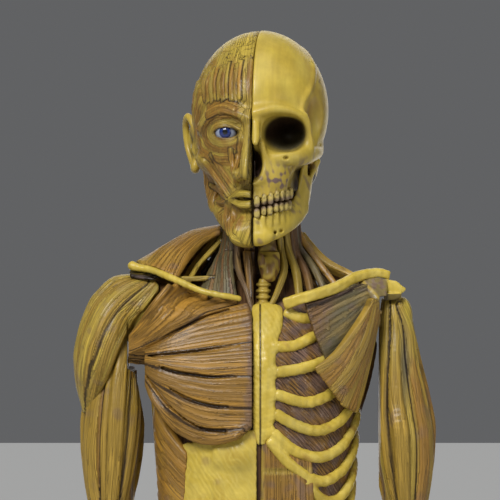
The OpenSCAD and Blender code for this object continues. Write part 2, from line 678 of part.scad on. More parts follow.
module upper_teeth_left() color("#d8c488") cast() turned() difference() {
    teeth_form(540, 544.6, 0);
    head_room();
    right_of(SEAM);
}
module lower_teeth_left() color("#d8c488") cast() turned() difference() {
    teeth_form(535.6, 539.6, -0.6);
    right_of(SEAM);
}
module mandible_left() color(BONE) cast() turned() difference() {
    jaw_form(1);
    teeth_form(534.6, 541, -0.6);
    jaw_drum(jaw_pin_d / 2 + running_gap + JAW_WALL + FIT, 15, 30, 20);
    right_of(SEAM);
}
module jaw_pin() color(STEEL) figure() turned() jaw_drum(jaw_pin_d / 2, JAW_PIN_X[0], JAW_PIN_X[1], 48);
module jaw_bush() color(BRASS) figure() turned() difference() {
    jaw_drum(jaw_pin_d / 2 + running_gap + JAW_WALL, JAW_BUSH_X[0], JAW_BUSH_X[1], 48);
    jaw_drum(jaw_pin_d / 2 + running_gap, 15, 30, 48);
}

// ---- arms ----
module deltoid_right() color(MUSCLE) cast() difference() {
    deltoid_form();
    torso_room();
}
module upper_arm_right() color(MUSCLE) cast() difference() {
    upper_arm_form();
    deltoid_form();
    torso_room();
    below(ELBOW_Z);
}
module forearm_cut(side) difference() {
    forearm_form(side);
    above(ELBOW_Z);
    below(WRIST_Z);
}
module forearm_right() color(MUSCLE) cast() forearm_cut(-1);
module forearm_left() color(MUSCLE) cast() forearm_cut(1);
module hand_right() color(TENDON) cast() difference() {
    hand_form(-1);
    above(WRIST_Z);
}
module hand_left() color(BONE) cast() difference() {
    hand_form(1);
    above(WRIST_Z);
}
module upper_arm_left() color(MUSCLE) cast() difference() {
    union() {
        bare_arm_form();
        drum(SHOULDER_L, HEAD_R, SPLIT_L[1], 69, 20);
    }
    right_of(SPLIT_L[1]);
    difference() {
        above(SHOULDER_L[2]);
        drum(SHOULDER_L, HEAD_R, 0, CUT / 2, 20);
    }
    drum(SHOULDER_L, shoulder_pin_d / 2 + BUSH_WALL + BUSH_FIT, 0, 66.05, 20);
    below(ELBOW_Z);
}
module shoulder_pins() color(STEEL) figure() {
    drum(SHOULDER_R, shoulder_pin_d / 2, -BUSH_OUT + 1, -BLOCK_IN, 64);
    drum(SHOULDER_L, shoulder_pin_d / 2, BLOCK_IN, 65, 64);
}
module bush(centre, x0, x1) difference() {
    drum(centre, shoulder_pin_d / 2 + running_gap + BUSH_WALL, x0, x1, 64);
    drum(centre, shoulder_pin_d / 2 + running_gap, x0 - 1, x1 + 1, 64);
}
module shoulder_bush_right() color(BRASS) figure() bush(SHOULDER_R, -BUSH_OUT, -BLOCK_OUT - 0.4);
module shoulder_bush_left() color(BRASS) figure() bush(SHOULDER_L, SPLIT_L[1], 66);

plinth();
plinth_pads();
foot_screws();
pelvis();
torso_core();
intercostals_left();
ribs_left();
sternum();
clavicle_right();
clavicle_left();
scapula_left();
shoulder_blocks();
spine_processes();
pectoralis_major_right();
pectoralis_minor_left();
trapezius_right();
latissimus_right();
scapular_muscles_right();
scapular_muscles_left();
erector_spinae_left();
rectus_sheath_right();
rectus_abdominis_left();
oblique_right();
oblique_left();
gluteus_right();
gluteus_left();
thigh_right();
thigh_left();
patellae();
shank_right();
shank_left();
foot_right();
foot_left();
neck_column();
sternomastoid_right();
scalenes_left();
larynx();
trachea();
neck_pin();
neck_bush();
skull_half_left();
upper_teeth_left();
muscle_head_right();
ear_right();
glass_eye_right();
jaw_pin();
jaw_bush();
mandible_left();
lower_teeth_left();
deltoid_right();
upper_arm_right();
forearm_right();
hand_right();
upper_arm_left();
forearm_left();
hand_left();
shoulder_pins();
shoulder_bush_right();
shoulder_bush_left();
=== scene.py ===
# The looks of a standing anatomical figure: muscles on its right half, skull and ribs on its left.
# Each piece is sculpted in millimetres as a block of signed distance, then meshed in metres.
import math
import bpy
import numpy as np
from mathutils import Matrix, Vector


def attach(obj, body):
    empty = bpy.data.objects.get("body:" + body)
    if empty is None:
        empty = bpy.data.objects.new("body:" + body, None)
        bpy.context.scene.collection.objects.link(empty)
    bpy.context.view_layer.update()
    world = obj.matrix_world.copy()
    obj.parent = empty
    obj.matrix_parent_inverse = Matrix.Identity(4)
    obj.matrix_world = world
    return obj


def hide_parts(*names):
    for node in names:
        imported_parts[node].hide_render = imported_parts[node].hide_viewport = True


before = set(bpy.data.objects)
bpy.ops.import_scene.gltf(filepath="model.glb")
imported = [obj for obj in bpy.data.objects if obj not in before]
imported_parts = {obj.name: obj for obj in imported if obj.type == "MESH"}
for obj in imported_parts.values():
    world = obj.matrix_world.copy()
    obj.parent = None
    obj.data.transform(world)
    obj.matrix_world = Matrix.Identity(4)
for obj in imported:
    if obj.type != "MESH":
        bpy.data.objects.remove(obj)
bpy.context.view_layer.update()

MM = 0.001
FINE = 0.5                            # cell of the pieces that the camera sees, in millimetres
COARSE = 0.9                          # cell of the others
MIDDLE = (FINE + COARSE) / 2

# ---------------------------------------------------------------- colours, as painted; the dark ones also serve as painted shade
BONE = (0.50, 0.365, 0.050)
BONE_PALE = (0.56, 0.43, 0.085)
TENDON = (0.41, 0.285, 0.045)
MUSCLE = (0.295, 0.155, 0.025)
MUSCLE_DARK = (0.17, 0.085, 0.028)
OLIVE = (0.35, 0.22, 0.033)
# pale strokes painted as highlights on the chest wall
PALE_HIGHLIGHT = (0.36, 0.27, 0.20)
CORD = (0.20, 0.125, 0.06)
AMBER = (0.36, 0.185, 0.026)
DEEP_OLIVE = (0.20, 0.15, 0.055)
DEEP = (0.12, 0.055, 0.018)
# near-black of the dark wash, also painted into holes, gaps and hollows as shade
WASH_AND_SHADE = (0.018, 0.008, 0.003)
STAIN = (0.16, 0.10, 0.085)
GREY = (0.115, 0.095, 0.045)


# ---------------------------------------------------------------- small helpers
def unit(v):
    v = np.asarray(v, float)
    return v / np.maximum(np.linalg.norm(v, axis=-1, keepdims=True), 1e-9)


def step_between(low, high, v):
    """0 below low, 1 above high, smooth between them."""
    t = np.clip((v - low) / (high - low), 0, 1)
    return t * t * (3 - 2 * t)


def soft_min(a, b, soft):
    if soft <= 0:
        return np.minimum(a, b)
    h = np.clip(0.5 + 0.5 * (b - a) / soft, 0, 1)
    return b + (a - b) * h - soft * h * (1 - h)


def curve(stations, step=2.5):
    """Stations on a smooth curve through the given rows, about a step apart."""
    s = np.array(stations, float)
    p = np.vstack([2 * s[0] - s[1], s, 2 * s[-1] - s[-2]])
    rows = []
    for i in range(1, len(p) - 2):
        a, b, c, d = p[i - 1:i + 3]
        n = max(2, int(math.ceil(np.linalg.norm(c[:3] - b[:3]) / step)))
        t = (np.arange(n) / n)[:, None]
        rows.append(0.5 * (2 * b + (c - a) * t + (2 * a - 5 * b + 4 * c - d) * t ** 2
                           + (3 * b - a - 3 * c + d) * t ** 3))
    rows.append(s[-1:])
    out = np.vstack(rows)
    out[:, 3:] = np.maximum(out[:, 3:], 0.25)
    return out


def sided(side, low, high):
    """The corners of a box that is given for the left, mirrored where side is -1."""
    if side > 0:
        return low, high
    return (-high[0], *low[1:]), (-low[0], *high[1:])


def ramp(table, v):
    """A value from rows (v, value) that rise in v."""
    rows = np.array(table, float)
    return np.interp(v, rows[:, 0], rows[:, 1])


# ---------------------------------------------------------------- shapes
class Strand:
    """A flat cord through stations [x, y, z, half width, half depth]. out gives the way its depth faces.

    Stations are given for the left, and side=-1 mirrors them to the right.
    """

    def __init__(self, stations, out, tint=MUSCLE, ends=None, fade=0.0, step=2.5, flat=False, group=0,
                 side=1):
        rows = [[side * x, *rest] for x, *rest in stations]
        rows = [r + [r[3]] if len(r) == 4 else r for r in rows]
        self.rows = curve(rows, step)
        self.tint = np.array(tint)
        self.ends = np.array(ends if ends is not None else tint)
        self.fade = fade
        self.flat = flat              # a ribbon with a flat face, not a round cord
        self.group = group            # strands of one group have only faint lines between them
        self.normal = unit(out(self.rows[:, :3]))
        reach = self.rows[:, 3:].max() + 3
        self.low = self.rows[:, :3].min(0) - reach
        self.high = self.rows[:, :3].max(0) + reach
        steps = np.linalg.norm(np.diff(self.rows[:, :3], axis=0), axis=1)
        self.length = np.concatenate([[0], np.cumsum(steps)])

    def segments(self):
        """Each segment's number, ends, direction, length, and its ways across and up."""
        for i in range(len(self.rows) - 1):
            a, b = self.rows[i], self.rows[i + 1]
            along = b[:3] - a[:3]
            size = np.linalg.norm(along)
            if size < 1e-6:
                continue
            t = along / size
            n = self.normal[i] + self.normal[i + 1]
            s = unit(np.cross(t, n))
            yield i, a, b, t, size, s, np.cross(s, t)

    def measure(self, x, y, z, a, b, t, size, s, n):
        """Distance, place across and part of the way along for points near the segment from a to b."""
        px, py, pz = x - a[0], y - a[1], z - a[2]
        h = np.clip((px * t[0] + py * t[1] + pz * t[2]) / size, 0, 1)
        w = a[3] + (b[3] - a[3]) * h
        d = a[4] + (b[4] - a[4]) * h
        px = px - t[0] * size * h
        py = py - t[1] * size * h
        pz = pz - t[2] * size * h
        across = px * s[0] + py * s[1] + pz * s[2]
        up = px * n[0] + py * n[1] + pz * n[2]
        over = px * t[0] + py * t[1] + pz * t[2]
        small = np.minimum(w, d)
        parts = [(across / w) ** 2, (up / d) ** 2, (over / small) ** 2]
        if self.flat:
            e = np.sqrt(np.sqrt(parts[0] ** 2 + parts[1] ** 2 + parts[2] ** 2))
        else:
            e = np.sqrt(parts[0] + parts[1] + parts[2])
        return (e - 1) * small, across, h

    def field(self, clay, window):
        """The strand's distance over a window of the clay."""
        x, y, z = clay.axes_in(window)
        out = np.full((x.shape[0], y.shape[1], z.shape[2]), 50, np.float32)
        for _, a, b, t, size, s, n in self.segments():
            reach = max(a[3], b[3], a[4], b[4]) + 3
            low = np.minimum(a[:3], b[:3]) - reach
            high = np.maximum(a[:3], b[:3]) + reach
            part = tuple(slice(*np.searchsorted(v.ravel(), ends)) for v,
                         ends in zip((x, y, z), zip(low, high)))
            if any(p.start >= p.stop for p in part):
                continue
            d, _, _ = self.measure(x[part[0]], y[:, part[1]], z[:, :, part[2]], a, b, t, size, s, n)
            out[part] = np.minimum(out[part], d)
        return out

    def flow(self, points):
        """Distance, place across and place along for each point near the strand."""
        near = np.nonzero(np.all((points > self.low - 2) & (points < self.high + 2), axis=1))[0]
        best = np.full(len(near), 50.0)
        across = np.zeros(len(near))
        along = np.zeros(len(near))
        p = points[near]
        for i, a, b, t, size, s, n in self.segments():
            d, u, h = self.measure(p[:, 0], p[:, 1], p[:, 2], a, b, t, size, s, n)
            better = d < best
            best[better] = d[better]
            across[better] = u[better]
            along[better] = (self.length[i] + h * size)[better]
        return near, best, across, along


class Ball:
    """An ellipsoid, or a rounded block where square is over 2."""

    def __init__(self, centre, radii, square=2.0, turn=0.0, axis="Z"):
        self.centre = np.array(centre, float)
        self.radii = np.array(radii if np.ndim(radii) else (radii,) * 3, float)
        self.square = square
        self.turn = np.array(Matrix.Rotation(math.radians(turn), 3, axis))
        reach = np.linalg.norm(self.radii) if turn else self.radii
        self.low = self.centre - reach - 3
        self.high = self.centre + reach + 3

    def at(self, x, y, z):
        x, y, z = x - self.centre[0], y - self.centre[1], z - self.centre[2]
        m = self.turn.T
        u, v, w = (m[k][0] * x + m[k][1] * y + m[k][2] * z for k in range(3))
        r = self.radii
        if self.square != 2.0:
            k = (np.abs(u / r[0]) ** self.square + np.abs(v / r[1]) ** self.square
                 + np.abs(w / r[2]) ** self.square) ** (1 / self.square)
            return (k - 1) * r.min()
        k0 = np.sqrt((u / r[0]) ** 2 + (v / r[1]) ** 2 + (w / r[2]) ** 2)
        k1 = np.sqrt((u / r[0] ** 2) ** 2 + (v / r[1] ** 2) ** 2 + (w / r[2] ** 2) ** 2)
        return k0 * (k0 - 1) / np.maximum(k1, 1e-6)

    def field(self, clay, window):
        return self.at(*clay.axes_in(window)).astype(np.float32)


NECK_X, NECK_Y = 2, 8                 # the upright axis that the head turns on
RIGHT_HUB = (2, 495)                  # y and z of each shoulder's axis
LEFT_HUB = (2, 490)
NECK_AXIS = np.array([NECK_X, NECK_Y, 0.0])


def from_neck(x, y):
    return np.sqrt((x - NECK_X) ** 2 + (y - NECK_Y) ** 2)


def from_hub(y, z, hub):
    return np.sqrt((y - hub[0]) ** 2 + (z - hub[1]) ** 2)


RAY_REACH = 70.0


class Clay:
    """A block of signed distance that shapes are added to and cut from."""

    def __init__(self, low, high, cell):
        self.cell = cell
        self.low = np.array(low, float)
        count = np.ceil((np.array(high) - self.low) / cell).astype(int) + 1
        self.axes = [self.low[k] + cell * np.arange(count[k]) for k in range(3)]
        self.field = np.full(count, 50, np.float32)

    def axes_in(self, window):
        x, y, z = (self.axes[k][window[k]] for k in range(3))
        return (x[:, None, None].astype(np.float32), y[None, :, None].astype(np.float32),
                z[None, None, :].astype(np.float32))

    def everywhere(self):
        return self.axes_in((slice(None),) * 3)

    def window(self, shape):
        return tuple(slice(*np.searchsorted(self.axes[k], (shape.low[k], shape.high[k]))) for k in range(3))

    def add(self, shape, soft=1.0):
        w = self.window(shape)
        if all(s.start < s.stop for s in w):
            self.field[w] = soft_min(self.field[w], shape.field(self, w), soft)

    def cut(self, shape, soft=0.5):
        w = self.window(shape)
        if all(s.start < s.stop for s in w):
            self.field[w] = -soft_min(-self.field[w], shape.field(self, w), soft)

    def keep(self, function):
        """Keeps what lies where the function of x, y and z is below 0."""
        self.field = np.maximum(self.field, function(*self.everywhere()))

    def cast(self, origins, directions):
        """Where each ray leaves the clay for the last time."""
        steps = np.arange(0, RAY_REACH, self.cell / 2)
        at = origins[:, None] + directions[:, None] * steps[None, :, None]
        index = np.rint((at - self.low) / self.cell).astype(int)
        known = np.all((index >= 0) & (index < self.field.shape), axis=2)
        index = np.clip(index, 0, np.array(self.field.shape) - 1)
        inside = (self.field[tuple(np.moveaxis(index, 2, 0))] < 0) & known
        last = (inside * np.arange(1, len(steps) + 1)).max(axis=1)
        return origins + directions * steps[np.maximum(last - 1, 0)][:, None]

    def mesh(self):
        """Points and quads of the clay's surface: one point in each cell that the surface crosses."""
        f = np.pad(self.field, 1, constant_values=5.0)
        inside = f < 0
        n = np.array(f.shape) - 1
        count = np.zeros(n, np.int8)
        corners = [(i, j, k) for i in (0, 1) for j in (0, 1) for k in (0, 1)]
        for i, j, k in corners:
            count += inside[i:n[0] + i, j:n[1] + j, k:n[2] + k]
        active = (count > 0) & (count < 8)
        number = np.full(n, -1, np.int64)
        cells = np.array(np.nonzero(active)).T
        number[active] = np.arange(len(cells))
        place = np.zeros((len(cells), 3))
        hits = np.zeros(len(cells))
        for a in corners:
            for axis in range(3):
                if a[axis]:
                    continue
                b = list(a)
                b[axis] = 1
                fa = f[cells[:, 0] + a[0], cells[:, 1] + a[1], cells[:, 2] + a[2]]
                fb = f[cells[:, 0] + b[0], cells[:, 1] + b[1], cells[:, 2] + b[2]]
                crosses = (fa < 0) != (fb < 0)
                t = np.where(crosses, fa / np.where(crosses, fa - fb, 1), 0)
                p = np.array(a, float) + t[:, None] * (np.array(b) - a)
                place[crosses] += p[crosses]
                hits[crosses] += 1
        points = self.low + (cells + place / hits[:, None] - 1) * self.cell
        quads = []
        for axis in range(3):
            u, v = [(1, 2), (2, 0), (0, 1)][axis]
            low = [slice(1, -1)] * 3
            low[axis] = slice(0, -1)
            high = list(low)
            high[axis] = slice(1, None)
            a, b = inside[tuple(low)], inside[tuple(high)]
            at = np.array(np.nonzero(a != b)).T
            start = at + 1
            start[:, axis] -= 1
            leaving = a[tuple(at.T)]
            ring = []
            for du, dv in ((0, 0), (1, 0), (1, 1), (0, 1)):
                c = start.copy()
                c[:, u] -= du
                c[:, v] -= dv
                ring.append(number[tuple(c.T)])
            q = np.array(ring).T
            q[~leaving] = q[~leaving][:, ::-1]
            quads.append(q)
        return points, np.vstack(quads)


# ---------------------------------------------------------------- meshes
def neighbours_mean(values, quads):
    """The mean of each point's neighbours along the quads' edges."""
    total = np.zeros_like(values)
    count = np.bincount(quads.ravel(), minlength=len(values)).astype(float) * 2
    for k in range(4):
        a = quads[:, k]
        for b in (quads[:, (k + 1) % 4], quads[:, (k - 1) % 4]):
            if values.ndim == 1:
                total += np.bincount(a, values[b], len(values))
            else:
                for c in range(values.shape[1]):
                    total[:, c] += np.bincount(a, values[b, c], len(values))
    count = np.maximum(count, 1)
    return total / (count if values.ndim == 1 else count[:, None])


def normals_of(points, quads):
    face = np.cross(points[quads[:, 2]] - points[quads[:, 0]], points[quads[:, 3]] - points[quads[:, 1]])
    out = np.zeros_like(points)
    for k in range(4):
        for c in range(3):
            out[:, c] += np.bincount(quads[:, k], face[:, c], len(points))
    return unit(out)


def cavity_of(points, quads, normals, rounds):
    """How far each point lies below its surroundings, in millimetres."""
    smooth = points
    for _ in range(rounds):
        smooth = 0.5 * (smooth + neighbours_mean(smooth, quads))
    return np.einsum("ij,ij->i", smooth - points, normals)


def wave_noise(points, scale, seed):
    """A smooth noise from -1 to 1: sines in fixed directions with phases from the seed."""
    rng = np.random.default_rng(seed)
    out = np.zeros(len(points))
    for _ in range(7):
        direction = unit(rng.normal(size=3)) / scale * rng.uniform(0.6, 1.7)
        out += np.sin(points @ direction * 2 * math.pi + rng.uniform(0, 7))
    return out / 3.2


class Piece:
    """A meshed piece with its paint, before it becomes an object."""

    def __init__(self, clay, base=MUSCLE, smooth=1):
        self.points, self.quads = clay.mesh()
        for _ in range(smooth):
            self.points = 0.4 * self.points + 0.6 * neighbours_mean(self.points, self.quads)
        self.normals = normals_of(self.points, self.quads)
        self.count = len(self.points)
        self.tint = np.tile(np.array(base, float), (self.count, 1))
        self.flow = np.zeros((self.count, 3))
        self.flow[:, 0] = self.points[:, 0]
        self.flow[:, 1] = self.points[:, 2]
        self.groove = np.zeros(self.count)
        self.wash_and_shade = np.zeros(self.count)

    def follow(self, strands, reach=1.5, groove=1.1, faint=0.15):
        """Takes flow and tint from the nearest strand, and grooves from how near the next one is."""
        first = np.full(self.count, 50.0)
        second = np.full(self.count, 50.0)
        group = np.full(self.count, -1)
        other = np.full(self.count, -1)
        tint = self.tint.copy()
        for index, strand in enumerate(strands):
            near, d, across, along = strand.flow(self.points)
            better = d < first[near]
            won, lost = near[better], near[~better]
            second[won], other[won] = first[won], group[won]
            closer = d[~better] < second[lost]
            second[lost[closer]], other[lost[closer]] = d[~better][closer], strand.group
            first[won], group[won] = d[better], strand.group
            self.flow[won] = np.stack([across[better], along[better], np.full(len(won), index * 7.3)], axis=1)
            length = strand.length[-1]
            part = along[better] / max(length, 1e-6)
            at_end = 1 - np.minimum(part, 1 - part) / max(strand.fade, 1e-6) if strand.fade else part * 0
            ragged = wave_noise(self.points[won], 3.0, index) * 0.25
            mix = np.clip(at_end + ragged * (at_end > 0), 0, 1)[:, None]
            tint[won] = strand.tint * (1 - mix) + strand.ends * mix
        hold = (1 - step_between(0.3, reach, first))[:, None]
        self.tint = self.tint * (1 - hold) + tint * hold
        line = (1 - step_between(0.0, groove, second - first)) * hold[:, 0]
        self.groove = np.maximum(self.groove, line * np.where(group == other, faint, 1.0))

    def push(self, amount):
        """Moves the surface outward by an amount for each point."""
        self.points = self.points + self.normals * np.asarray(amount)[:, None]
        self.normals = normals_of(self.points, self.quads)

    def paint(self, colour, mask):
        """Mixes a colour in where the mask is over 0."""
        mask = (np.clip(mask, 0, 1) * np.ones(self.count))[:, None]
        self.tint = self.tint * (1 - mask) + np.array(colour) * mask

    def patches(self, low, high, scale, seed):
        """0 where a noise of this scale lies below low, 1 above high."""
        return step_between(low, high, wave_noise(self.points, scale, seed))

    def mottle(self, colour, low, high, scale, seed, amount):
        self.paint(colour, self.patches(low, high, scale, seed) * amount)

    def dab(self, colour, centre, radii, strength):
        """Paints an ellipsoid's inside, strongest in its middle."""
        self.paint(colour, self.near(centre, radii) * strength)

    def near(self, centre, radii):
        """1 at the centre of an ellipsoid, 0 at its surface."""
        d = np.linalg.norm((self.points - centre) / radii, axis=1)
        return np.clip(1 - d, 0, 1)

    # wash scales the dark wash and the painted shade in the hollows and grooves
    def build(self, node, material, body, place=None, rounds=3, wash=1.0):
        """Makes the object that stands in for the CAD node, with its tint, flow, and its dark wash and
        painted shade in the hollows.
        """
        hollow = cavity_of(self.points, self.quads, self.normals, rounds)
        wide = cavity_of(self.points, self.quads, self.normals, rounds * 5)
        # dark wash and painted shade in narrow and broad hollows, from how deep each point lies
        wash_and_shade = step_between(0.03, 0.28, hollow) * 0.7 + step_between(0.15, 1.3, wide) * 0.75
        wash_and_shade = np.clip((wash_and_shade + self.groove * 0.75) * wash + self.wash_and_shade, 0, 1)
        points = self.points if place is None else place(self.points)
        me = bpy.data.meshes.new(node + ".look")
        quads = self.quads
        me.vertices.add(self.count)
        me.vertices.foreach_set("co", (points * MM).ravel())
        me.loops.add(quads.size)
        me.loops.foreach_set("vertex_index", quads.ravel().astype(np.int32))
        me.polygons.add(len(quads))
        me.polygons.foreach_set("loop_start", np.arange(0, quads.size, 4, dtype=np.int32))
        me.polygons.foreach_set("use_smooth", np.ones(len(quads), bool))
        me.update(calc_edges=True)
        tint = me.attributes.new("tint", "FLOAT_COLOR", "POINT")
        tint.data.foreach_set("color", np.hstack([self.tint, np.ones((self.count, 1))]).ravel())
        flow = me.attributes.new("flow", "FLOAT_VECTOR", "POINT")
        flow.data.foreach_set("vector", self.flow.ravel())
        dark_wash_and_shade = me.attributes.new("dark_wash_and_shade", "FLOAT", "POINT")
        dark_wash_and_shade.data.foreach_set("value", wash_and_shade)
        me.validate()
        me.materials.append(material)
        obj = bpy.data.objects.new(node + ".look", me)
        bpy.context.scene.collection.objects.link(obj)
        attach(obj, body)
        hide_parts(node)


# ---------------------------------------------------------------- materials
class Nodes:
    """A short way to write a node tree."""

    def __init__(self, name):
        self.material = bpy.data.materials.new(name)
        self.material.use_nodes = True
        self.tree = self.material.node_tree
        self.tree.nodes.clear()
        self.shader = self.add("ShaderNodeBsdfPrincipled")
        out = self.add("ShaderNodeOutputMaterial")
        self.link(self.shader.outputs[0], out.inputs[0])

    def add(self, kind, **values):
        node = self.tree.nodes.new(kind)
        for key, value in values.items():
            setattr(node, key, value)
        return node

    def link(self, a, b):
        self.tree.links.new(a, b)

    def attribute(self, name):
        return self.add("ShaderNodeAttribute", attribute_name=name)

    def math(self, kind, a, b=None):
        node = self.add("ShaderNodeMath", operation=kind)
        for socket, value in zip(node.inputs, (a, b)):
            if value is None:
                continue
            if hasattr(value, "links"):
                self.link(value, socket)
            else:
                socket.default_value = value
        return node.outputs[0]

    def scaled(self, vector, scale):
        node = self.add("ShaderNodeVectorMath", operation="MULTIPLY")
        self.link(vector, node.inputs[0])
        node.inputs[1].default_value = scale
        return node.outputs[0]

    def noise(self, vector, scale, detail=3.0, rough=0.55):
        node = self.add("ShaderNodeTexNoise")
        self.link(vector, node.inputs["Vector"])
        node.inputs["Scale"].default_value = scale
        node.inputs["Detail"].default_value = detail
        node.inputs["Roughness"].default_value = rough
        return node.outputs["Fac"]

    def remap(self, value, a, b, c, d):
        node = self.add("ShaderNodeMapRange")
        self.link(value, node.inputs["Value"])
        for key, v in zip(("From Min", "From Max", "To Min", "To Max"), (a, b, c, d)):
            node.inputs[key].default_value = v
        return node.outputs[0]

    def mix(self, factor, a, b, blend="MIX"):
        node = self.add("ShaderNodeMix", data_type="RGBA", blend_type=blend)
        node.clamp_factor = True
        sockets = [node.inputs[0], node.inputs[6], node.inputs[7]]
        for socket, value in zip(sockets, (factor, a, b)):
            if hasattr(value, "links"):
                self.link(value, socket)
            elif isinstance(value, tuple):
                socket.default_value = (*value, 1)
            else:
                socket.default_value = value
        return node.outputs[2]


def painted(name, streak=0.5, lines=0.0, bump=0.25, roughness=0.45, coat=0.14, fine=2.2):
    """Varnished paint over fibres: streaks and cut lines along the flow, a dark wash and painted shade in the
    hollows.
    """
    m = Nodes(name)
    tint = m.attribute("tint").outputs["Color"]
    flow = m.attribute("flow").outputs["Vector"]
    dark_wash_and_shade = m.attribute("dark_wash_and_shade").outputs["Fac"]
    place = m.add("ShaderNodeTexCoord").outputs["Object"]
    fibres = m.noise(m.scaled(flow, (fine, 0.06, 1)), 1.0, 4.0, 0.6)
    strands = m.noise(m.scaled(flow, (0.42, 0.016, 1)), 1.0, 1.0, 0.5)
    patches = m.noise(place, 70.0, 4.0, 0.6)
    specks = m.noise(place, 900.0, 3.0, 0.6)
    # a thin line wherever a stretched noise passes one of three levels
    cut = 0
    for level in (0.40, 0.5, 0.60):
        off = m.math("ABSOLUTE", m.math("SUBTRACT", strands, level))
        line = m.remap(off, 0.0, 0.022, 1.0, 0.0)
        cut = line if cut == 0 else m.math("MAXIMUM", cut, line)
    cut = m.math("MULTIPLY", cut, m.remap(patches, 0.35, 0.6, 0.25, 1.0))
    light = m.remap(fibres, 0.3, 0.7, 1 - streak, 1 + streak * 0.55)
    light = m.math("MULTIPLY", light, m.remap(strands, 0.3, 0.7, 1 - streak * 0.4, 1 + streak * 0.3))
    light = m.math("MULTIPLY", light, m.remap(patches, 0.3, 0.7, 0.80, 1.14))
    grey = m.add("ShaderNodeCombineColor")
    for socket in grey.inputs[:3]:
        m.link(light, socket)
    colour = m.mix(1.0, tint, grey.outputs[0], "MULTIPLY")
    # how dark each point goes: dark wash and painted shade, patches, fibres and cut lines
    edge = m.math("ADD", dark_wash_and_shade, m.math("MULTIPLY", m.math("SUBTRACT", patches, 0.5), 0.35))
    edge = m.math("ADD", edge, m.math("MULTIPLY", m.math("SUBTRACT", fibres, 0.5), -0.45 * streak))
    edge = m.math("ADD", edge, m.math("MULTIPLY", cut, lines))
    colour = m.mix(m.remap(edge, 0.08, 0.85, 0.0, 0.97), colour, WASH_AND_SHADE)
    m.link(colour, m.shader.inputs["Base Color"])
    m.link(m.remap(specks, 0.3, 0.7, roughness - 0.07, roughness + 0.12), m.shader.inputs["Roughness"])
    m.shader.inputs["Coat Weight"].default_value = coat
    m.shader.inputs["Coat Roughness"].default_value = 0.2
    m.shader.inputs["Specular IOR Level"].default_value = 0.3
    if bump:
        height = m.math("ADD", m.math("MULTIPLY", fibres, streak * 1.2), m.math("MULTIPLY", specks, 0.12))
        height = m.math("ADD", height, m.math("MULTIPLY", patches, 0.4))
        height = m.math("SUBTRACT", height, m.math("MULTIPLY", cut, lines * 1.2))
        relief = m.add("ShaderNodeBump")
        relief.inputs["Strength"].default_value = 0.9
        relief.inputs["Distance"].default_value = bump * MM
        m.link(height, relief.inputs["Height"])
        m.link(relief.outputs[0], m.shader.inputs["Normal"])
    return m.material


FIBRE = painted("fibre_paint", streak=0.36, lines=0.5, bump=0.5)
SMOOTH = painted("bone_paint", streak=0.10, bump=0.3, roughness=0.42, coat=0.14, fine=0.5)
GLASSY = painted("glass_eye", streak=0.0, bump=0.0, roughness=0.15, coat=1.0)


# ---------------------------------------------------------------- the trunk's surface
TRUNK = np.array([                    # z, half width, half depth, centre's y
    (330, 48, 28, 4), (346, 45, 28, 3), (358, 42, 27, 2), (372, 40, 26, 1), (400, 40, 28, 1),
    (428, 42, 32, 1.5), (455, 43.5, 34.5, 2), (474, 43, 34, 3), (486, 40, 30, 5), (498, 34, 22.5, 8),
    (506, 26, 16.5, 10), (514, 17, 13, 11)], float)


def trunk_size(z):
    return (np.interp(z, TRUNK[:, 0], TRUNK[:, k]) for k in (1, 2, 3))


def trunk_point(angle, z, lift=0.0):
    """A point on the trunk: angle 0 is the front midline, 90 the left side, 180 the back."""
    hw, hd, cy = trunk_size(z)
    a = math.radians(angle)
    return [(hw + lift) * math.sin(a), cy - (hd + lift) * math.cos(a), z]


def trunk_front(x, z, lift=0.0):
    hw, hd, cy = trunk_size(z)
    x = float(np.clip(x, -hw * 0.97, hw * 0.97))
    return float(cy - (hd + lift) * math.sqrt(1 - (x / (hw + lift)) ** 2))


def trunk_out(p):
    hw, hd, cy = trunk_size(p[:, 2])
    return np.stack([p[:, 0] / hw ** 2, (p[:, 1] - cy) / hd ** 2, p[:, 2] * 0], axis=1)


def trunk_field(x, y, z, grow=0.0):
    hw, hd, cy = trunk_size(z)
    hw, hd = hw + grow, hd + grow
    e = np.sqrt((x / hw) ** 2 + ((y - cy) / hd) ** 2)
    return ((e - 1) * np.minimum(hw, hd)).astype(np.float32)


def on_trunk(stations, tint, lift=1.0, **more):
    """A strand laid on the trunk's front through rows (x, z, half width, half depth)."""
    return Strand([[x, trunk_front(x, z, lift), z, w, d] for x, z, w, d in stations], trunk_out, tint, **more)


def away_from(centre):
    return lambda p: p - np.array(centre, float)


def away_from_line(a, b):
    """Outward from the line between two points, for a limb's strands."""
    a, b = np.array(a, float), np.array(b, float)
    t = unit(b - a)
    return lambda p: (p - a) - ((p - a) @ t)[:, None] * t


# ---------------------------------------------------------------- the head's own frame
HEAD_YAW = math.radians(-6)
SEAM = 0.4
SKULL_OUT = away_from((0, 2, 572))


def head_place(points):
    p = points - [0, NECK_AXIS[1], 0]
    c, s = math.cos(HEAD_YAW), math.sin(HEAD_YAW)
    turned = np.stack([p[:, 0] * c - p[:, 1] * s, p[:, 0] * s + p[:, 1] * c, p[:, 2]], axis=1)
    return turned + NECK_AXIS


def half_seam(z):
    """Half the cut between the two halves: open at the jaws, nearly closed on the forehead."""
    return SEAM * (1 - 0.8 * step_between(574, 582, z))


def right_half(x, y, z):
    return (x + half_seam(z)).astype(np.float32)


def left_half(x, y, z):
    return (half_seam(z) - x).astype(np.float32)


def neck_socket(clay):
    """Room for the neck that the head turns round."""
    x, y, z = clay.everywhere()
    r = np.sqrt(x ** 2 + (y - NECK_AXIS[1]) ** 2)
    clay.field = np.maximum(clay.field, -np.maximum(r - 19.2, z - 553.4))


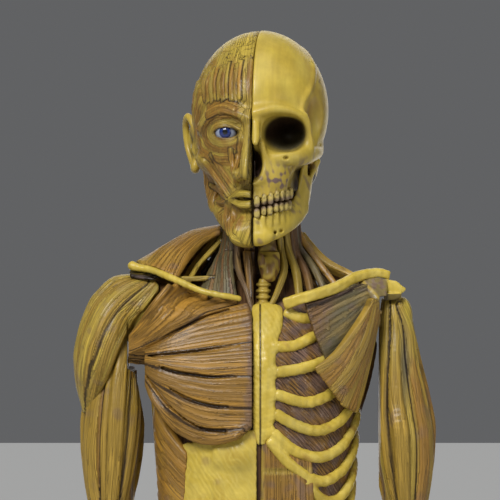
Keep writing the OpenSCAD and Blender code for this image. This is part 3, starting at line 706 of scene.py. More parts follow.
def laid(clay, stations, tint, lift=0.3, out=SKULL_OUT, **more):
    """A strand laid on the front of the clay through rows (x, z, half width, half depth)."""
    s = np.array(stations, float)
    s = curve(np.hstack([s[:, :1], s[:, :1] * 0, s[:, 1:]]), 4)
    start = s[:, :3].copy()
    start[:, 1] = 2
    at = clay.cast(start, np.tile([0, -1.0, 0], (len(s), 1)))
    s[:, 1] = at[:, 1] - lift
    for _ in range(2):
        s[1:-1, 1] = 0.5 * s[1:-1, 1] + 0.25 * (s[:-2, 1] + s[2:, 1])
    return Strand(s, out, tint, **more)


def wrapped(clay, centre, stations, tint, lift=0.3, **more):
    """A strand on the clay through rows (x, y, z, half width, half depth), pushed out from a centre."""
    s = curve(stations, 4)
    way = unit(s[:, :3] - centre)
    at = clay.cast(np.tile(np.array(centre, float), (len(s), 1)), way)
    s[:, :3] = at + way * lift
    return Strand(s, away_from(centre), tint, **more)


# ---------------------------------------------------------------- right half of the head
EYE = (-12.1, -29.6, 572.8)
EYE_R = 5.3


def muscle_head():
    c = Clay((-36, -54, 518), (2, 48, 624), FINE)
    c.add(Ball((0, 3, 584), (30.2, 41, 35.6)), 0)
    c.add(Ball((0, -12, 566), (25, 25, 22)), 7)
    c.add(Ball((0, -14, 547), (16, 20, 19)), 7)
    c.add(Ball((0, -28, 530), (9.5, 10, 8)), 5)
    jaw = Strand([[-21, 1, 560, 6, 4.6], [-19.4, 0, 548, 6, 4.2], [-16, -9, 538, 5, 4],
                  [-8.6, -24, 530, 4, 4.4]],
                 SKULL_OUT)
    c.add(jaw, 4)
    c.add(Ball((-21.5, -18, 561), (5.4, 8, 4.5)), 4)
    c.add(Strand([[-1, -39, 578, 2.2], [-10, -36.8, 581.4, 2.2], [-19, -31, 580, 2.2], [-24, -24, 575, 2]],
                 SKULL_OUT), 4)
    c.cut(Ball((-12.4, -39.5, 573), (8.6, 4.6, 6.2)), 3)
    nose = [Strand([[-0.5, -37.5, 577, 2.4], [-0.8, -41.5, 568, 2.8], [-1, -46, 559, 3.3],
                    [-1.2, -46.6, 554.6, 3.4]],
                   SKULL_OUT, TENDON), Ball((-5.0, -40.2, 553.8), (3.2, 4.0, 3.1))]
    for shape in nose:
        c.add(shape, 2)
    c.cut(Ball((-3.6, -43.5, 550.4), (1.5, 2.4, 1.6)), 0.8)
    c.add(Ball(EYE, EYE_R + 1.2), 2.0)
    c.cut(Ball((-12.0, -37.4, 572.3), (6.3, 8.6, 2.3)), 0.4)
    c.cut(Ball(EYE, EYE_R + 0.05), 0)
    lips = [Strand([[-0.3, -37.0, 545.2, 1.4, 1.7], [-5, -35.8, 545.6, 1.4, 1.6],
                    [-10.6, -31.2, 543.4, 0.7, 0.9]],
                   SKULL_OUT, BONE),
            Strand([[-0.3, -36.8, 540.9, 1.6, 1.8], [-5, -35.6, 540.9, 1.5, 1.7],
                    [-10.0, -31.2, 542.6, 0.7, 0.9]],
                   SKULL_OUT, BONE)]
    for lip in lips:
        c.add(lip, 1.8)
    c.add(Ball((-4.4, -33.4, 527.6), (6.2, 5.2, 5.2)), 3)

    def face(rows, tint=MUSCLE, **more):
        return laid(c, rows, tint, **more)
    strands = list(nose[:1]) + lips
    for i in range(12):               # frontalis
        x = -1.4 - i * 1.9
        strands.append(face([(x, 586 + (i % 3) * 0.7, 0.9, 0.5), (x * 1.05, 595, 1.0, 0.8),
                             (x * 0.98, 607 - i * 0.5 - (i % 4), 0.8, 0.4)],
                            (MUSCLE, TENDON, MUSCLE, OLIVE)[i % 4], ends=TENDON, fade=0.22,
                            group=10 + (i + 1) // 3))
    for i in range(3):                # the brow's own band
        strands.append(face([(-7.4, 580.4 + 2 * i, 1.1, 0.5), (-14, 582 + 2 * i, 1.3, 0.6),
                             (-20.5, 579.4 + 2 * i, 1.1, 0.4)],
                            MUSCLE, group=9))
    for i in range(6):                # orbicularis of the eye
        a, b = 8.0 + i * 1.35, 5.6 + i * 1.3
        ring = [(-12.0 - 0.12 * i + a * math.cos(t), 572.6 - 0.1 * i + b * math.sin(t), 0.75, 0.45)
                for t in np.radians(np.arange(48 + 30 * i, 336 - 10 * i, 16))]
        strands.append(face(ring, (TENDON, MUSCLE, MUSCLE)[i % 3], lift=0.1, out=away_from((-12, 2, 572)),
                            group=8))
    rows = [
        [(-22.5, 560, 1.5, 1.3), (-17, 552.6, 1.6, 1.4), (-11.6, 545, 1.0, 0.8)],
        [(-19, 563, 1.0, 0.8), (-14, 555, 1.1, 0.9), (-9.4, 548.4, 0.8, 0.6)],
        [(-9.4, 565, 1.2, 0.8), (-8.6, 557, 1.2, 0.9), (-7.2, 549.5, 0.9, 0.6)],
        [(-5.0, 570, 1, 0.7), (-6.2, 562, 1.2, 0.8), (-7.4, 554.5, 1.1, 0.7)],
        [(-21.6, 550, 1.4, 0.9), (-17, 547.4, 1.5, 1), (-12.2, 543.6, 0.9, 0.7)],
        [(-18.4, 542.5, 1.4, 0.9), (-15, 541.8, 1.5, 1), (-12, 542, 0.9, 0.7)],
        [(-11.8, 542, 1.2, 1), (-12.6, 535.6, 1.7, 1.2), (-11.5, 528, 1.3, 0.7)],
        [(-9.4, 538, 1.1, 0.9), (-9.6, 532, 1.4, 1), (-8.6, 526, 1.1, 0.6)],
        [(-5, 536, 1.0, 0.8), (-6, 532.6, 1.1, 0.8), (-7, 529, 1, 0.6)]]
    strands += [face(r, ends=TENDON, fade=0.16, group=20 + i) for i, r in enumerate(rows)]
    side = (0, 0, 566)
    for i in range(5):                # masseter
        strands.append(wrapped(c, side, [[-25.5, -14 + i * 3.8, 562, 1.6, 0.9],
                                         [-24, -11 + i * 3.4, 551, 1.8, 1.1],
                                         [-20, -8 + i * 2.6, 540, 1.5, 0.7]], MUSCLE, ends=TENDON, fade=0.2,
                               group=40 + i // 3))
    for i in range(12):               # temporalis, fanning up from the cheek arch
        t = -44 + i * 13
        up = [-30, -6 + 30 * math.sin(math.radians(t)), 574 + 24 * math.cos(math.radians(t)), 2.0, 0.6]
        strands.append(wrapped(c, (0, 0, 574), [[-27, -9 + i * 0.9, 567, 1.0, 0.6],
                                                [-30, -8 + 16 * math.sin(math.radians(t)),
                                                 572 + 13 * math.cos(math.radians(t)), 1.6, 0.8], up],
                               (MUSCLE, MUSCLE, TENDON)[i % 3], ends=TENDON, fade=0.25, group=50 + i // 4))
    for i in range(8):                # occipitalis and the nape
        x = -2.4 - i * 3
        strands.append(wrapped(c, (0, 4, 566), [[x, 44, 582 - i, 1.4, 0.6], [x, 42, 566, 1.6, 0.8],
                                                [x * 0.9 - 1, 36, 552, 1.4, 0.6]],
                               MUSCLE, ends=TENDON, fade=0.2, group=60 + i // 3))
    for s in strands[3:]:
        c.add(s, 0.7)
    c.add(Ball((-29.0, 7, 569), (2.4, 6, 9)), 3)
    c.cut(Ball((-21.6, -17, 547.6), (3.2, 3.6, 2.6)), 1.5)
    c.keep(right_half)
    neck_socket(c)
    c.keep(lambda x, y, z: (548 - z) + 0 * x - 50 * (y < 14))
    p = Piece(c, TENDON)
    p.follow(strands, reach=1.6, groove=0.7, faint=0.3)
    x, y, z = p.points.T
    patch = wave_noise(p.points, 14, 3) + wave_noise(p.points, 5, 8) * 0.5
    top = step_between(600, 609, z - 3.5 * patch)
    p.paint(BONE, top * step_between(-0.9, 0.5, patch + 0.5) * 0.8)
    cracks = np.abs(wave_noise(p.points * [1.3, 1, 0.7], 7, 9))
    p.wash_and_shade += (1 - step_between(0.02, 0.10, cracks)) * top * 0.9
    p.paint(MUSCLE, (1 - top) * p.patches(0.2, 1.0, 9, 4) * 0.7)
    # painted shade in the hollow below the cheek
    p.dab(MUSCLE_DARK, (-21.6, -19, 547.6), (4.5, 6, 4), 1.5)
    # painted shade round the eye, and black shade in the lids' opening
    p.dab(MUSCLE_DARK, (-12.0, -36, 572.3), (7.4, 9, 4.4), 1.5)
    p.dab(WASH_AND_SHADE, (-12.0, -35, 572.4), (6.6, 7, 2.9), 1.6)
    p.dab(BONE, (-5, -34, 526.4), (8.6, 9, 5.8), 1.8)
    p.dab(BONE, (-0.6, -45, 560), (2.8, 12, 15), 1.8)
    p.dab(BONE, (-4, -39, 542.4), (8.8, 8, 6.6), 2.4)
    p.groove *= 1 - np.clip(p.near((-4, -39, 542.4), (9, 8, 6.6)) * 2, 0, 1)
    # a black line between the lips: painted shade
    p.paint(WASH_AND_SHADE, (1 - step_between(0.2, 0.9, np.abs(z - 543.2 + 0.05 * x)))
            * (x > -10.5) * (y < -33) * step_between(-11, -8, x))
    # painted shade along the seam between the two halves
    p.wash_and_shade += (x > -SEAM - 0.5) * (z < 578) * 0.5
    p.paint(TENDON, step_between(0.2, 1.0, wave_noise(p.points * [1.6, 1, 0.6], 2.6, 99)) * (1 - top) * 0.45)
    p.push(0.08 * np.sin(p.flow[:, 0] * 6.2 + wave_noise(p.points, 4, 5) * 2) * step_between(0, 1, 1 - top))
    p.build("muscle_head_right", FIBRE, "head", head_place)


def ear():
    c = Clay((-40, -2, 551), (-24, 22, 587), FINE * 0.8)
    out = away_from((0, 6, 568))
    c.add(Ball((-29.6, 7.5, 569), (1.8, 5.6, 9)), 0)
    c.add(Strand([[-30, 10, 577, 3.2, 1.0], [-31.4, 12, 570, 3.2, 1.0], [-30.4, 9, 562, 2.6, 1.0]], out), 1.5)
    helix = Strand([[-28.8, 2.5, 570, 1.2], [-31, 2.8, 578, 1.5], [-33.8, 7, 581.6, 1.6],
                    [-35.6, 13, 578, 1.6],
                    [-35.0, 14.4, 569, 1.5], [-32.6, 11.6, 562, 1.6], [-30.6, 7.6, 558, 1.9]], out, TENDON)
    inner = Strand([[-31.6, 6, 576, 0.9], [-33, 9.8, 573.5, 1.0], [-32.8, 10, 567.5, 1.0],
                    [-31, 7, 562.8, 1.0]],
                   out, TENDON)
    tragus = Ball((-30.2, 3.6, 567), (1.6, 1.5, 2.6))
    c.cut(Ball((-33.4, 6.6, 569), (2.6, 3.4, 5.4)), 0.8)
    for s in (helix, inner, tragus, Ball((-30.6, 8, 575), (2.0, 5, 5.5)),
              Ball((-30.4, 6.6, 559), (2.2, 3.2, 3.2))):
        c.add(s, 1.2)
    p = Piece(c, TENDON)
    p.mottle(BONE, -0.4, 0.8, 8, 2, 0.8)
    # painted shade in the ear's hollow
    p.wash_and_shade += p.near((-31.4, 6.4, 569), (4, 4.6, 8)) * 1.5
    p.build("ear_right", SMOOTH, "head", head_place, wash=1.3)


def eye():
    """A glass eye that looks ahead: pupil, iris with fine rays, and a white that turns brown away from the
    gaze.
    """
    c = Clay(np.array(EYE) - 7, np.array(EYE) + 7, 0.3)
    c.add(Ball(EYE, EYE_R), 0)
    p = Piece(c, (0.28, 0.32, 0.42))
    rel = p.points - np.array(EYE)
    gaze = unit(np.array([0.0, -1.0, -0.03]))
    off = np.degrees(np.arccos(np.clip(unit(rel) @ gaze, -1, 1)))
    spin = np.arctan2(rel[:, 2], rel[:, 0])
    rays = 0.5 + 0.5 * np.sin(spin * 23 + np.sin(spin * 7) * 2)
    iris = np.outer(0.55 + 0.45 * rays, (0.010, 0.030, 0.19))
    inside = 1 - step_between(29, 31.5, off)
    p.tint = p.tint * (1 - inside[:, None]) + iris * inside[:, None]
    p.paint((0.006, 0.012, 0.06), step_between(24, 30, off) * inside)
    p.paint((0.003, 0.003, 0.004), 1 - step_between(12, 14, off))
    p.paint((0.14, 0.08, 0.07), step_between(44, 66, off) * 0.8)
    p.build("glass_eye_right", GLASSY, "head", head_place, wash=0.0)


# ---------------------------------------------------------------- left half of the head
UPPER = (538.9, 544.2)                # the front upper tooth's edge and neck
LOWER = (534.2, 538.6)                # the front lower tooth's neck and edge
TOOTH_RISE = 4.4                      # both rows rise this much to the back


def skull_half():
    c = Clay((-2, -50, 532), (36, 48, 624), FINE)
    c.add(Ball((0, 3, 584), (30.2, 40.5, 35.8)), 0)
    c.add(Ball((0, -10, 571), (24, 26, 16)), 5)
    c.add(Ball((5, -22, 554), (12.4, 15, 13)), 4)
    c.add(Ball((12, 14, 560), (13, 18, 12)), 3)
    c.add(Strand([[1, -38.6, 580.5, 1.8], [9, -37.4, 582.4, 1.7], [17, -33.4, 581.6, 1.6],
                  [22.6, -27.6, 578, 1.8], [24.4, -24, 572, 2.2], [23.6, -23.5, 566, 2.6]], SKULL_OUT), 4)
    arch = Strand([[9, -32.5, 560.5, 3.4, 3.0], [16, -30.5, 561.6, 3.8, 3.4], [22.0, -24.5, 562.6, 4.4, 3],
                   [25.6, -14, 563.6, 3.2, 1.8], [26.8, -3, 564.4, 2.6, 1.5], [26.0, 5, 566, 3.2, 2]],
                  SKULL_OUT, BONE)
    c.cut(Ball((27.0, -17.5, 577), (4.2, 8.5, 10.5), 2.0), 3)
    c.cut(Ball((29.5, -8, 556), (6, 14, 7)), 3)
    c.add(arch, 1.8)
    c.cut(Ball((13.6, -36.5, 571.8), (9.4, 15.5, 8.1), 2.7), 1.2)
    c.cut(Ball((14, -26, 571.4), (7.5, 16, 5.6)), 2)
    c.add(Strand([[1.2, -37.2, 578, 2.0], [2.0, -41, 570.6, 1.9], [2.0, -43.2, 567.5, 1.3]], SKULL_OUT), 2)
    c.add(Strand([[4.0, -36.5, 567, 1.3], [5.8, -35.4, 559.6, 1.4], [4.6, -36, 553, 1.4],
                  [2, -37.4, 550.4, 1.2], [0.5, -38.2, 550.2, 1.0]], SKULL_OUT), 2.5)
    c.cut(Ball((0.2, -40, 558.6), (4.7, 11, 8.4), 1.8), 0.8)
    c.add(Strand([[0.8, -33, 560, 0.6, 2], [0.8, -32, 553, 0.6, 2]], SKULL_OUT), 0.5)
    for i in range(8):                # roots of the upper teeth
        a = math.radians(5 + i * 11.6)
        x, y = 14.2 * math.sin(a), -17.5 - 19 * math.cos(a)
        low = UPPER[0] + 4 + TOOTH_RISE * math.sin(a)
        c.add(Strand([[x * 0.96, y + 1.0, low + 7 + (i == 2) * 2, 0.9], [x, y, low, 1.3]], SKULL_OUT), 2.0)
    c.cut(Ball((14.6, -35.5, 561.2), (1.4, 3, 0.9)), 0.5)
    c.cut(Ball((20.8, -21, 549.0), (6.8, 15, 8.2)), 1)
    # a plug behind the opening under the cheek arch, painted black below as shade
    c.add(Ball((14.8, -8, 550), (3.4, 7, 8)), 0.5)
    c.add(Ball((19.6, 13, 555.4), (3.4, 5.6, 5.5)), 3)
    line = wrapped(c, (0, 2, 574), [[21.5, -27, 580, 0.9, 0.6], [21.6, -26, 586, 0.8, 0.6],
                                    [24.6, -18, 594, 0.8, 0.5],
                                    [24, -6, 604, 0.8, 0.4], [19, 6, 612, 0.7, 0.3]], BONE, lift=0.0)
    c.add(line, 1.6)
    socket = [(25.5, 3, 559.5), (5.2, 8, 4.2)]
    c.cut(Ball(*socket), 0.8)
    c.keep(left_half)
    neck_socket(c)
    c.keep(lambda x, y, z: UPPER[1] - 1.6 + TOOTH_RISE * np.clip(x, 0, 15) / 14.5 - z)
    p = Piece(c, BONE)
    x, y, z = p.points.T
    p.mottle(BONE_PALE, -0.4, 0.9, 22, 1, 0.6)
    p.paint(OLIVE, (1 - p.patches(-0.4, 1.0, 16, 31)) * 0.25)
    side = wave_noise(p.points, 8, 32)
    p.paint(OLIVE, step_between(21, 26, x + 0.12 * (z - 590)) * step_between(-0.5, 0.9, side) * 0.5)
    p.dab(MUSCLE, (25.5, -19, 579), (6, 9, 12), 1.5)
    p.paint(STAIN, p.near((24.6, -20, 578), (4, 6, 8)) * step_between(-0.3, 0.6, side) * 1.2)
    # the orbit painted grey, and black towards its deep upper part, as shade in the socket
    hollow = p.near((13.8, -20, 571.8), (11.2, 24, 9.6))
    p.paint(GREY, hollow * 3)
    deep = step_between(-34, -29, y) * step_between(0.02, 0.2, hollow)
    p.paint(WASH_AND_SHADE, deep * (0.05 + 0.93 * step_between(567, 574, z - 0.35 * (x - 13))))
    # painted black shade inside the nasal opening
    p.dab(WASH_AND_SHADE, (1.0, -31, 558.4), (5.0, 9.4, 8.6), 3)
    jaw_side = p.near((11, -34, 552), (13, 14, 9))
    p.paint(STAIN, jaw_side * p.patches(0.0, 0.7, 4.5, 6) * 1.5)
    p.paint(STAIN, p.near((22, -24, 559), (9, 10, 6)) * p.patches(-0.1, 0.6, 5, 7) * 1.2)
    # painted black shade in the opening under the cheek arch, and on the skull's underside seen through it
    p.dab(WASH_AND_SHADE, (20.6, -18, 550), (6.4, 16, 8), 3)
    p.paint(WASH_AND_SHADE, step_between(-18, -10, y) * (1 - step_between(556, 562, z)) * (x < 24) * 0.95)
    # painted shade in the hollow behind the orbit's rim
    p.wash_and_shade += p.near((26, -18, 575), (4, 8, 8)) * 0.9
    suture = np.abs(y + 6 + 2.2 * np.sin(z * 1.3) + 0.9 * np.sin(x * 3.1))
    p.wash_and_shade += (1 - step_between(0.25, 0.8, suture)) * (z > 590) * 0.5
    # painted shade along the seam between the two halves
    p.wash_and_shade += (x < SEAM + 0.5) * (z < 578) * 0.35
    p.build("skull_half_left", SMOOTH, "head", head_place, wash=0.9)


def tooth_row(node, body, z0, z1, grow, lean):
    """One rounded crown after another along the arch."""
    c = Clay((-1, -42, z0 - 3), (20, -10, z1 + TOOTH_RISE + 3), FINE * 0.8)
    widths = [3.0, 2.5, 2.7, 2.6, 2.6, 3.2, 3.2]
    s = 0.6
    for i, w in enumerate(widths):
        a = (s + w / 2) / 20.5 * 1.35
        x, y = (15 + grow) * math.sin(a), -17.5 - (19.4 + grow) * math.cos(a)
        lift = TOOTH_RISE * math.sin(a) + 0.3 * math.sin(i * 2.4)
        c.add(Ball((x, y, (z0 + z1) / 2 + lift), (w * 0.44, 1.5, (z1 - z0) / 2 - 0.15 * (i % 2)), 3.0,
                   math.degrees(a)), 0.1)
        s += w + 0.25
    c.keep(left_half)
    p = Piece(c, (0.47, 0.36, 0.10))
    x, y, z = p.points.T
    rise = TOOTH_RISE * np.clip(x, 0, 15) / 15
    root = step_between(0.3, 1.0, np.abs(z - rise - (z0 + z1) / 2 + lean) / (z1 - z0) * 2)
    p.paint(STAIN, root * 0.8)
    p.paint(WASH_AND_SHADE, step_between(0.5, 1.0, np.abs(wave_noise(p.points, 2.4, 40))) * 0.5)
    # wash=2.0 doubles the dark wash and painted shade between the crowns
    p.build(node, SMOOTH, body, head_place, wash=2.0, rounds=2)


def teeth():
    tooth_row("upper_teeth_left", "head", UPPER[0], UPPER[1], 0.6, -0.6)
    tooth_row("lower_teeth_left", "jaw", LOWER[0], LOWER[1], 0.0, 0.6)


def mandible():
    c = Clay((-2, -44, 518), (34, 16, 568), FINE)
    side = away_from((0, 2, 550))
    c.add(Strand([[24.8, 3, 561, 2.6, 2.0], [22.0, 4.4, 554, 4.5, 1.3], [20.9, 3.6, 546, 5.0, 1.2],
                  [19.9, 0, 540, 4.6, 1.6]], side), 0)
    c.add(Strand([[20.6, -5.5, 561, 1.6, 1.3], [19.8, -6, 554, 3.0, 1.3], [18.7, -7, 546, 4.2, 1.4],
                  [17.0, -10, 539, 4.5, 1.9]], side), 1.8)
    c.add(Strand([[21, -1, 553, 5.0, 1.2], [20.0, -2, 546, 5.5, 1.2], [19.0, -4, 540, 5.0, 1.5]], side), 1.5)
    body = Strand([[19.4, -3, 541, 4.2, 1.7], [17.0, -11.6, 537.6, 5.0, 2.2], [13.6, -21.2, 534.2, 5.4, 2.8],
                   [8, -29.4, 531.2, 6.0, 3.1], [0, -32.6, 529.6, 6.2, 3.2]], away_from((0, -6, 531)))
    c.add(body, 1.5)
    c.add(Ball((3.0, -34.4, 527.2), (6.4, 3.4, 4)), 3)
    for i in range(6):
        a = math.radians(6 + i * 13)
        x, y = 14.3 * math.sin(a), -17.3 - 18.9 * math.cos(a)
        z = LOWER[0] + TOOTH_RISE * math.sin(a)
        c.add(Strand([[x, y, z - 4, 0.9], [x, y, z - 0.4, 1.2]], SKULL_OUT), 1.8)
    for x, y, z in ((9.4, -31.4, 528.6), (12.0, -29.6, 529.4)):
        c.cut(Ball((x, y, z), (0.8, 2.4, 0.8)), 0.3)
    c.keep(left_half)
    p = Piece(c, BONE)
    x, y, z = p.points.T
    p.mottle(BONE_PALE, -0.4, 0.9, 16, 11, 0.6)
    p.mottle(STAIN, 0.5, 1.2, 7, 12, 0.6)
    p.paint(STAIN, p.near((17, -15, 540), (5, 7, 4)) * p.patches(-0.4, 0.4, 4, 13) * 1.2)
    # painted shade along the seam between the two halves
    p.wash_and_shade += (x < SEAM + 0.5) * 0.35
    p.build("mandible_left", SMOOTH, "jaw", head_place)


# ---------------------------------------------------------------- the trunk
def ribbons(guides, count, tints=(None,), wide=1.0, lobes=0.0, group=0):
    """Rows spread evenly between guide rows, as (row, tint, group). lobes thins those between two guides."""
    guides = [curve(g, 6)[np.linspace(0, len(curve(g, 6)) - 1, 9).round().astype(int)] for g in guides]
    out = []
    for n, t in enumerate(np.linspace(0, len(guides) - 1, count)):
        i = min(int(t), len(guides) - 2)
        row = guides[i] + (guides[i + 1] - guides[i]) * (t - i)
        row[:, 3] *= wide
        row[:, 4] *= 1 - lobes * math.sin(math.pi * (t - i)) ** 2
        out.append((row, tints[n % len(tints)], group + (int(t + 0.5) % (len(guides) - 1) if lobes else 0)))
    return out


def sheet_group(name, rows, low, high, tint, body="figure", out=None, soft=0.8, cell=None,
                mend=None, gap=True, ends=None, fade=0.0, core=(), relief=0.35, flat=True, paint=None,
                skin=None, side=1):
    """Ribbons of one muscle group, side by side, given as (row, tint, group), with cut lines between them."""
    c = Clay(*sided(side, low, high), cell or COARSE)
    for shape in core:
        c.add(shape, 2)
    strands = [Strand(row, out or trunk_out, colour or tint, ends=ends, fade=fade, flat=flat, group=group,
                      side=side) for row, colour, group in rows]
    for s in strands:
        c.add(s, soft)
    if gap:
        c.keep(arm_gap)
    if mend:
        mend(c)
    p = Piece(c, tint)
    p.follow(strands, reach=3.0, groove=0.9)
    p.push(-relief * p.groove)
    p.mottle(OLIVE, -0.1, 1.0, 18, len(name) + 3, 0.25)
    p.mottle(STAIN, 0.6, 1.4, 11, len(name) + 5, 0.35)
    if paint:
        paint(p)
    p.build(name, skin or FIBRE, body)


def trunk_core():
    c = Clay((-50, -34, 336), (50, 42, 516), COARSE)
    c.field = trunk_field(*c.everywhere(), grow=-0.6)
    c.keep(lambda x, y, z: np.maximum(345 - z, z - 512))
    c.keep(arm_gap)
    p = Piece(c, DEEP)
    # the core shows only in gaps between the muscles: darkened all over as painted shade
    p.wash_and_shade += 0.25
    p.build("torso_core", FIBRE, "figure")


def arm_gap(x, y, z):
    """Positive in the room that the trunk leaves for the arms' hubs."""
    right = 16 - from_hub(y, z, RIGHT_HUB)
    left = 10.7 - from_hub(y, z, LEFT_HUB)
    fan = np.maximum(29 - from_hub(y, z, RIGHT_HUB), 0)
    out = np.minimum(right, -x - 44)
    out = np.maximum(out, np.minimum(left, x - 44))
    out = np.maximum(out, np.where(fan > 0, -x - 57.6, -x - 50.2) * (z < 511) - 50 * (z >= 511))
    return np.maximum(out, (x - 54) * (z < 500.4) - 50 * (z >= 500.4)).astype(np.float32)


RIBS = [  # the front course of each rib, rows (x, z), and how far its back end rises
    [[(13, 493), (20, 490.5), (27, 492)], 16],
    [[(9, 478.5), (16, 479), (24, 482.5), (34, 486)], 17],
    [[(9, 467.5), (19, 469), (29, 472), (38, 477)], 19],
    [[(8.5, 457.6), (20, 454.2), (29, 456), (37, 461)], 23],
    [[(8, 449), (18, 443.5), (27, 441.5), (36, 445), (40.5, 450)], 26],
    [[(7, 440.5), (16, 433), (27, 429.6), (36, 433), (41, 439)], 28],
    [[(5.5, 437), (14, 427), (27, 419), (36, 422), (41, 428)], 29],
    [[(21, 418.6), (28, 411), (35, 410), (40.5, 416)], 31],
    [[(29, 404), (36, 401), (40, 406)], 33],
    [[(36.5, 393), (39.6, 396)], 34]]


def rib_course(front, rise):
    """A rib's stations: its front course, then round the side to the back, 1.4 off the trunk."""
    lift = 1.4
    rows = [[x, trunk_front(x, z, lift), z] for x, z in front]
    x, z = front[-1]
    hw, _, _ = trunk_size(z)
    start = math.degrees(math.asin(min(x / (hw + lift), 0.98)))
    for i in range(1, 9):
        a = start + (170 - start) * i / 8
        rows.append(trunk_point(a, z + rise * (i / 8) ** 0.8, lift))
    return [r + [2.5, 1.9] for r in rows]


def ribs():
    c = Clay((0, -38, 388), (48, 42, 512), FINE)
    strands = [Strand(rib_course(front, rise), trunk_out, BONE) for front, rise in RIBS]
    for s in strands:
        c.add(s, 0.8)
    c.keep(left_half)
    c.keep(arm_gap)
    p = Piece(c, BONE)
    p.mottle(BONE_PALE, -0.3, 0.9, 12, 21, 0.7)
    p.mottle(MUSCLE, 0.55, 1.3, 8, 22, 0.6)
    p.push(0.12 * wave_noise(p.points, 3.2, 23))
    p.build("ribs_left", SMOOTH, "figure")


def intercostals():
    """Fibres that slant from rib to rib, down and forward, over the chest wall."""
    c = Clay((0, -38, 384), (48, 42, 504), FINE)
    c.field = trunk_field(*c.everywhere(), grow=0.55)
    inner = trunk_field(*c.everywhere(), grow=-1.6)
    c.field = np.maximum(c.field, -inner)
    c.keep(lambda x, y, z: np.maximum(np.maximum(4 - x, z - 498), 390 + 0.35 * y - z))
    c.keep(arm_gap)
    p = Piece(c, MUSCLE_DARK)
    x, y, z = p.points.T
    hw, hd, cy = trunk_size(z)
    round_trunk = np.arctan2(x / hw, -(y - cy) / hd) * 42
    slant = 0.86
    p.flow = np.stack([round_trunk * 0.8 + z * slant, z * 0.8 - round_trunk * slant, z * 0], axis=1)
    bundle = np.sin(p.flow[:, 0] * 3.6 + 1.6 * wave_noise(p.points, 6, 31))
    bundle = bundle * (0.6 + 0.4 * wave_noise(p.points, 9, 33))
    p.push(0.16 * bundle)
    p.paint(MUSCLE, step_between(-0.9, 1.0, bundle + wave_noise(p.points, 12, 34)) * 0.75)
    p.mottle(STAIN, -0.5, 0.7, 10, 32, 0.75)
    # pale strokes on the front of the chest wall: painted highlights
    highlight_streaks = np.sin(p.flow[:, 0] * 7.1 + 2 * wave_noise(p.points, 3, 35))
    p.paint(PALE_HIGHLIGHT, step_between(0.7, 1.0, highlight_streaks) * p.patches(0.1, 0.9, 5, 36) * (y < 0) * 0.7)
    p.paint(GREY, step_between(462, 474, z) * step_between(24, 32, x) * (y < 0) * 0.65)
    # dark wash and painted shade in the troughs between the bundles
    p.wash_and_shade += step_between(-0.1, -0.9, bundle) * 0.4 + 0.06
    p.build("intercostals_left", FIBRE, "figure")


def sternum():
    c = Clay((-10, -40, 434), (15, -8, 500), FINE)
    rows = [[3.4, 494.5, 7.6, 3.2], [3.6, 488, 7.2, 3], [3, 480, 5.4, 2.8], [2.6, 468, 5.0, 2.6],
            [2.4, 452, 5, 2.6], [2, 443, 4.4, 2.4], [1.2, 437, 2.2, 1.6]]
    plate = on_trunk(rows, BONE, lift=0.6)
    c.add(plate, 0)
    for x, z in ((9, 478.5), (8, 467.5), (7.6, 457.6), (7.4, 449), (6.8, 441)):
        c.add(Ball((x - 1, trunk_front(x, z, 1.6), z), (2.2, 1.6, 2.4)), 1.5)
    c.keep(lambda x, y, z: -2.6 + 0.3 * np.sin(z * 0.9) - x)
    p = Piece(c, BONE)
    p.mottle(BONE_PALE, -0.3, 0.8, 9, 41, 0.7)
    seam = 1 - step_between(0.15, 0.55, np.abs(p.points[:, 0] - 0.9))
    p.push(0.12 * wave_noise(p.points, 3.0, 42) - 0.5 * seam)
    p.wash_and_shade += seam * 0.8
    p.build("sternum", SMOOTH, "figure")


FAN = [  # the pectoral's guides, each from its origin to the arm: rows (x, z, half width)
    [(-38.8, 503.4, 2.0), (-44.8, 496, 2.4), (-50.8, 488.6, 1.8), (-56, 481.4, 1.2), (-57.2, 478, 1.0)],
    [(-28, 501.4, 3.4), (-40, 491, 3.2), (-50, 482.4, 1.8), (-57.2, 475.6, 1.0)],
    [(-6, 495, 3.8), (-20, 491.4, 3.8), (-35, 484.4, 3.4), (-48, 477.6, 2.0), (-57.2, 474.4, 1.0)],
    [(-3.4, 485, 3.4), (-26, 480.4, 3.9), (-46, 475.4, 2.4), (-57.2, 474, 1.0)],
    [(-3.2, 471.5, 3.6), (-25, 470, 4.0), (-45, 472.4, 2.4), (-57, 473.6, 1.0)],
    [(-3.4, 456.5, 3.6), (-24, 458, 4.0), (-42, 465, 2.4), (-50, 470.4, 1.8), (-57, 473, 1.0)],
    [(-4, 445, 2.8), (-22, 446, 3.6), (-37, 454, 2.8), (-46, 463.4, 2.0), (-51.4, 469.6, 1.6),
     (-57, 472.4, 1.0)],
    [(-9, 439, 1.6), (-21, 436.8, 2.4), (-32.6, 441.6, 2.6), (-41.6, 451.6, 2.2), (-47.4, 461, 1.6),
     (-51.6, 468.4, 1.4),
     (-57, 471.6, 1.0)]]
FAN_COUNT = 29                        # ribbons in the fan
FAN_GROOVES = (7, 13, 17, 21, 25)     # the deep clefts, after these ribbons


def fan_depth(x, z):
    """How far forward the pectoral lies: on the ribs inside, then across to the arm."""
    inner = trunk_front(max(x, -36), z, 3.0)
    outer = ramp([(-58, -12.5), (-54, -14.6), (-50, -17.6), (-44, -24), (-36, -29.5)], x)
    mix = float(step_between(-44, -28, x))
    return inner * mix + outer * (1 - mix) + float(step_between(478, 502, z)) * (1 - mix) * 4


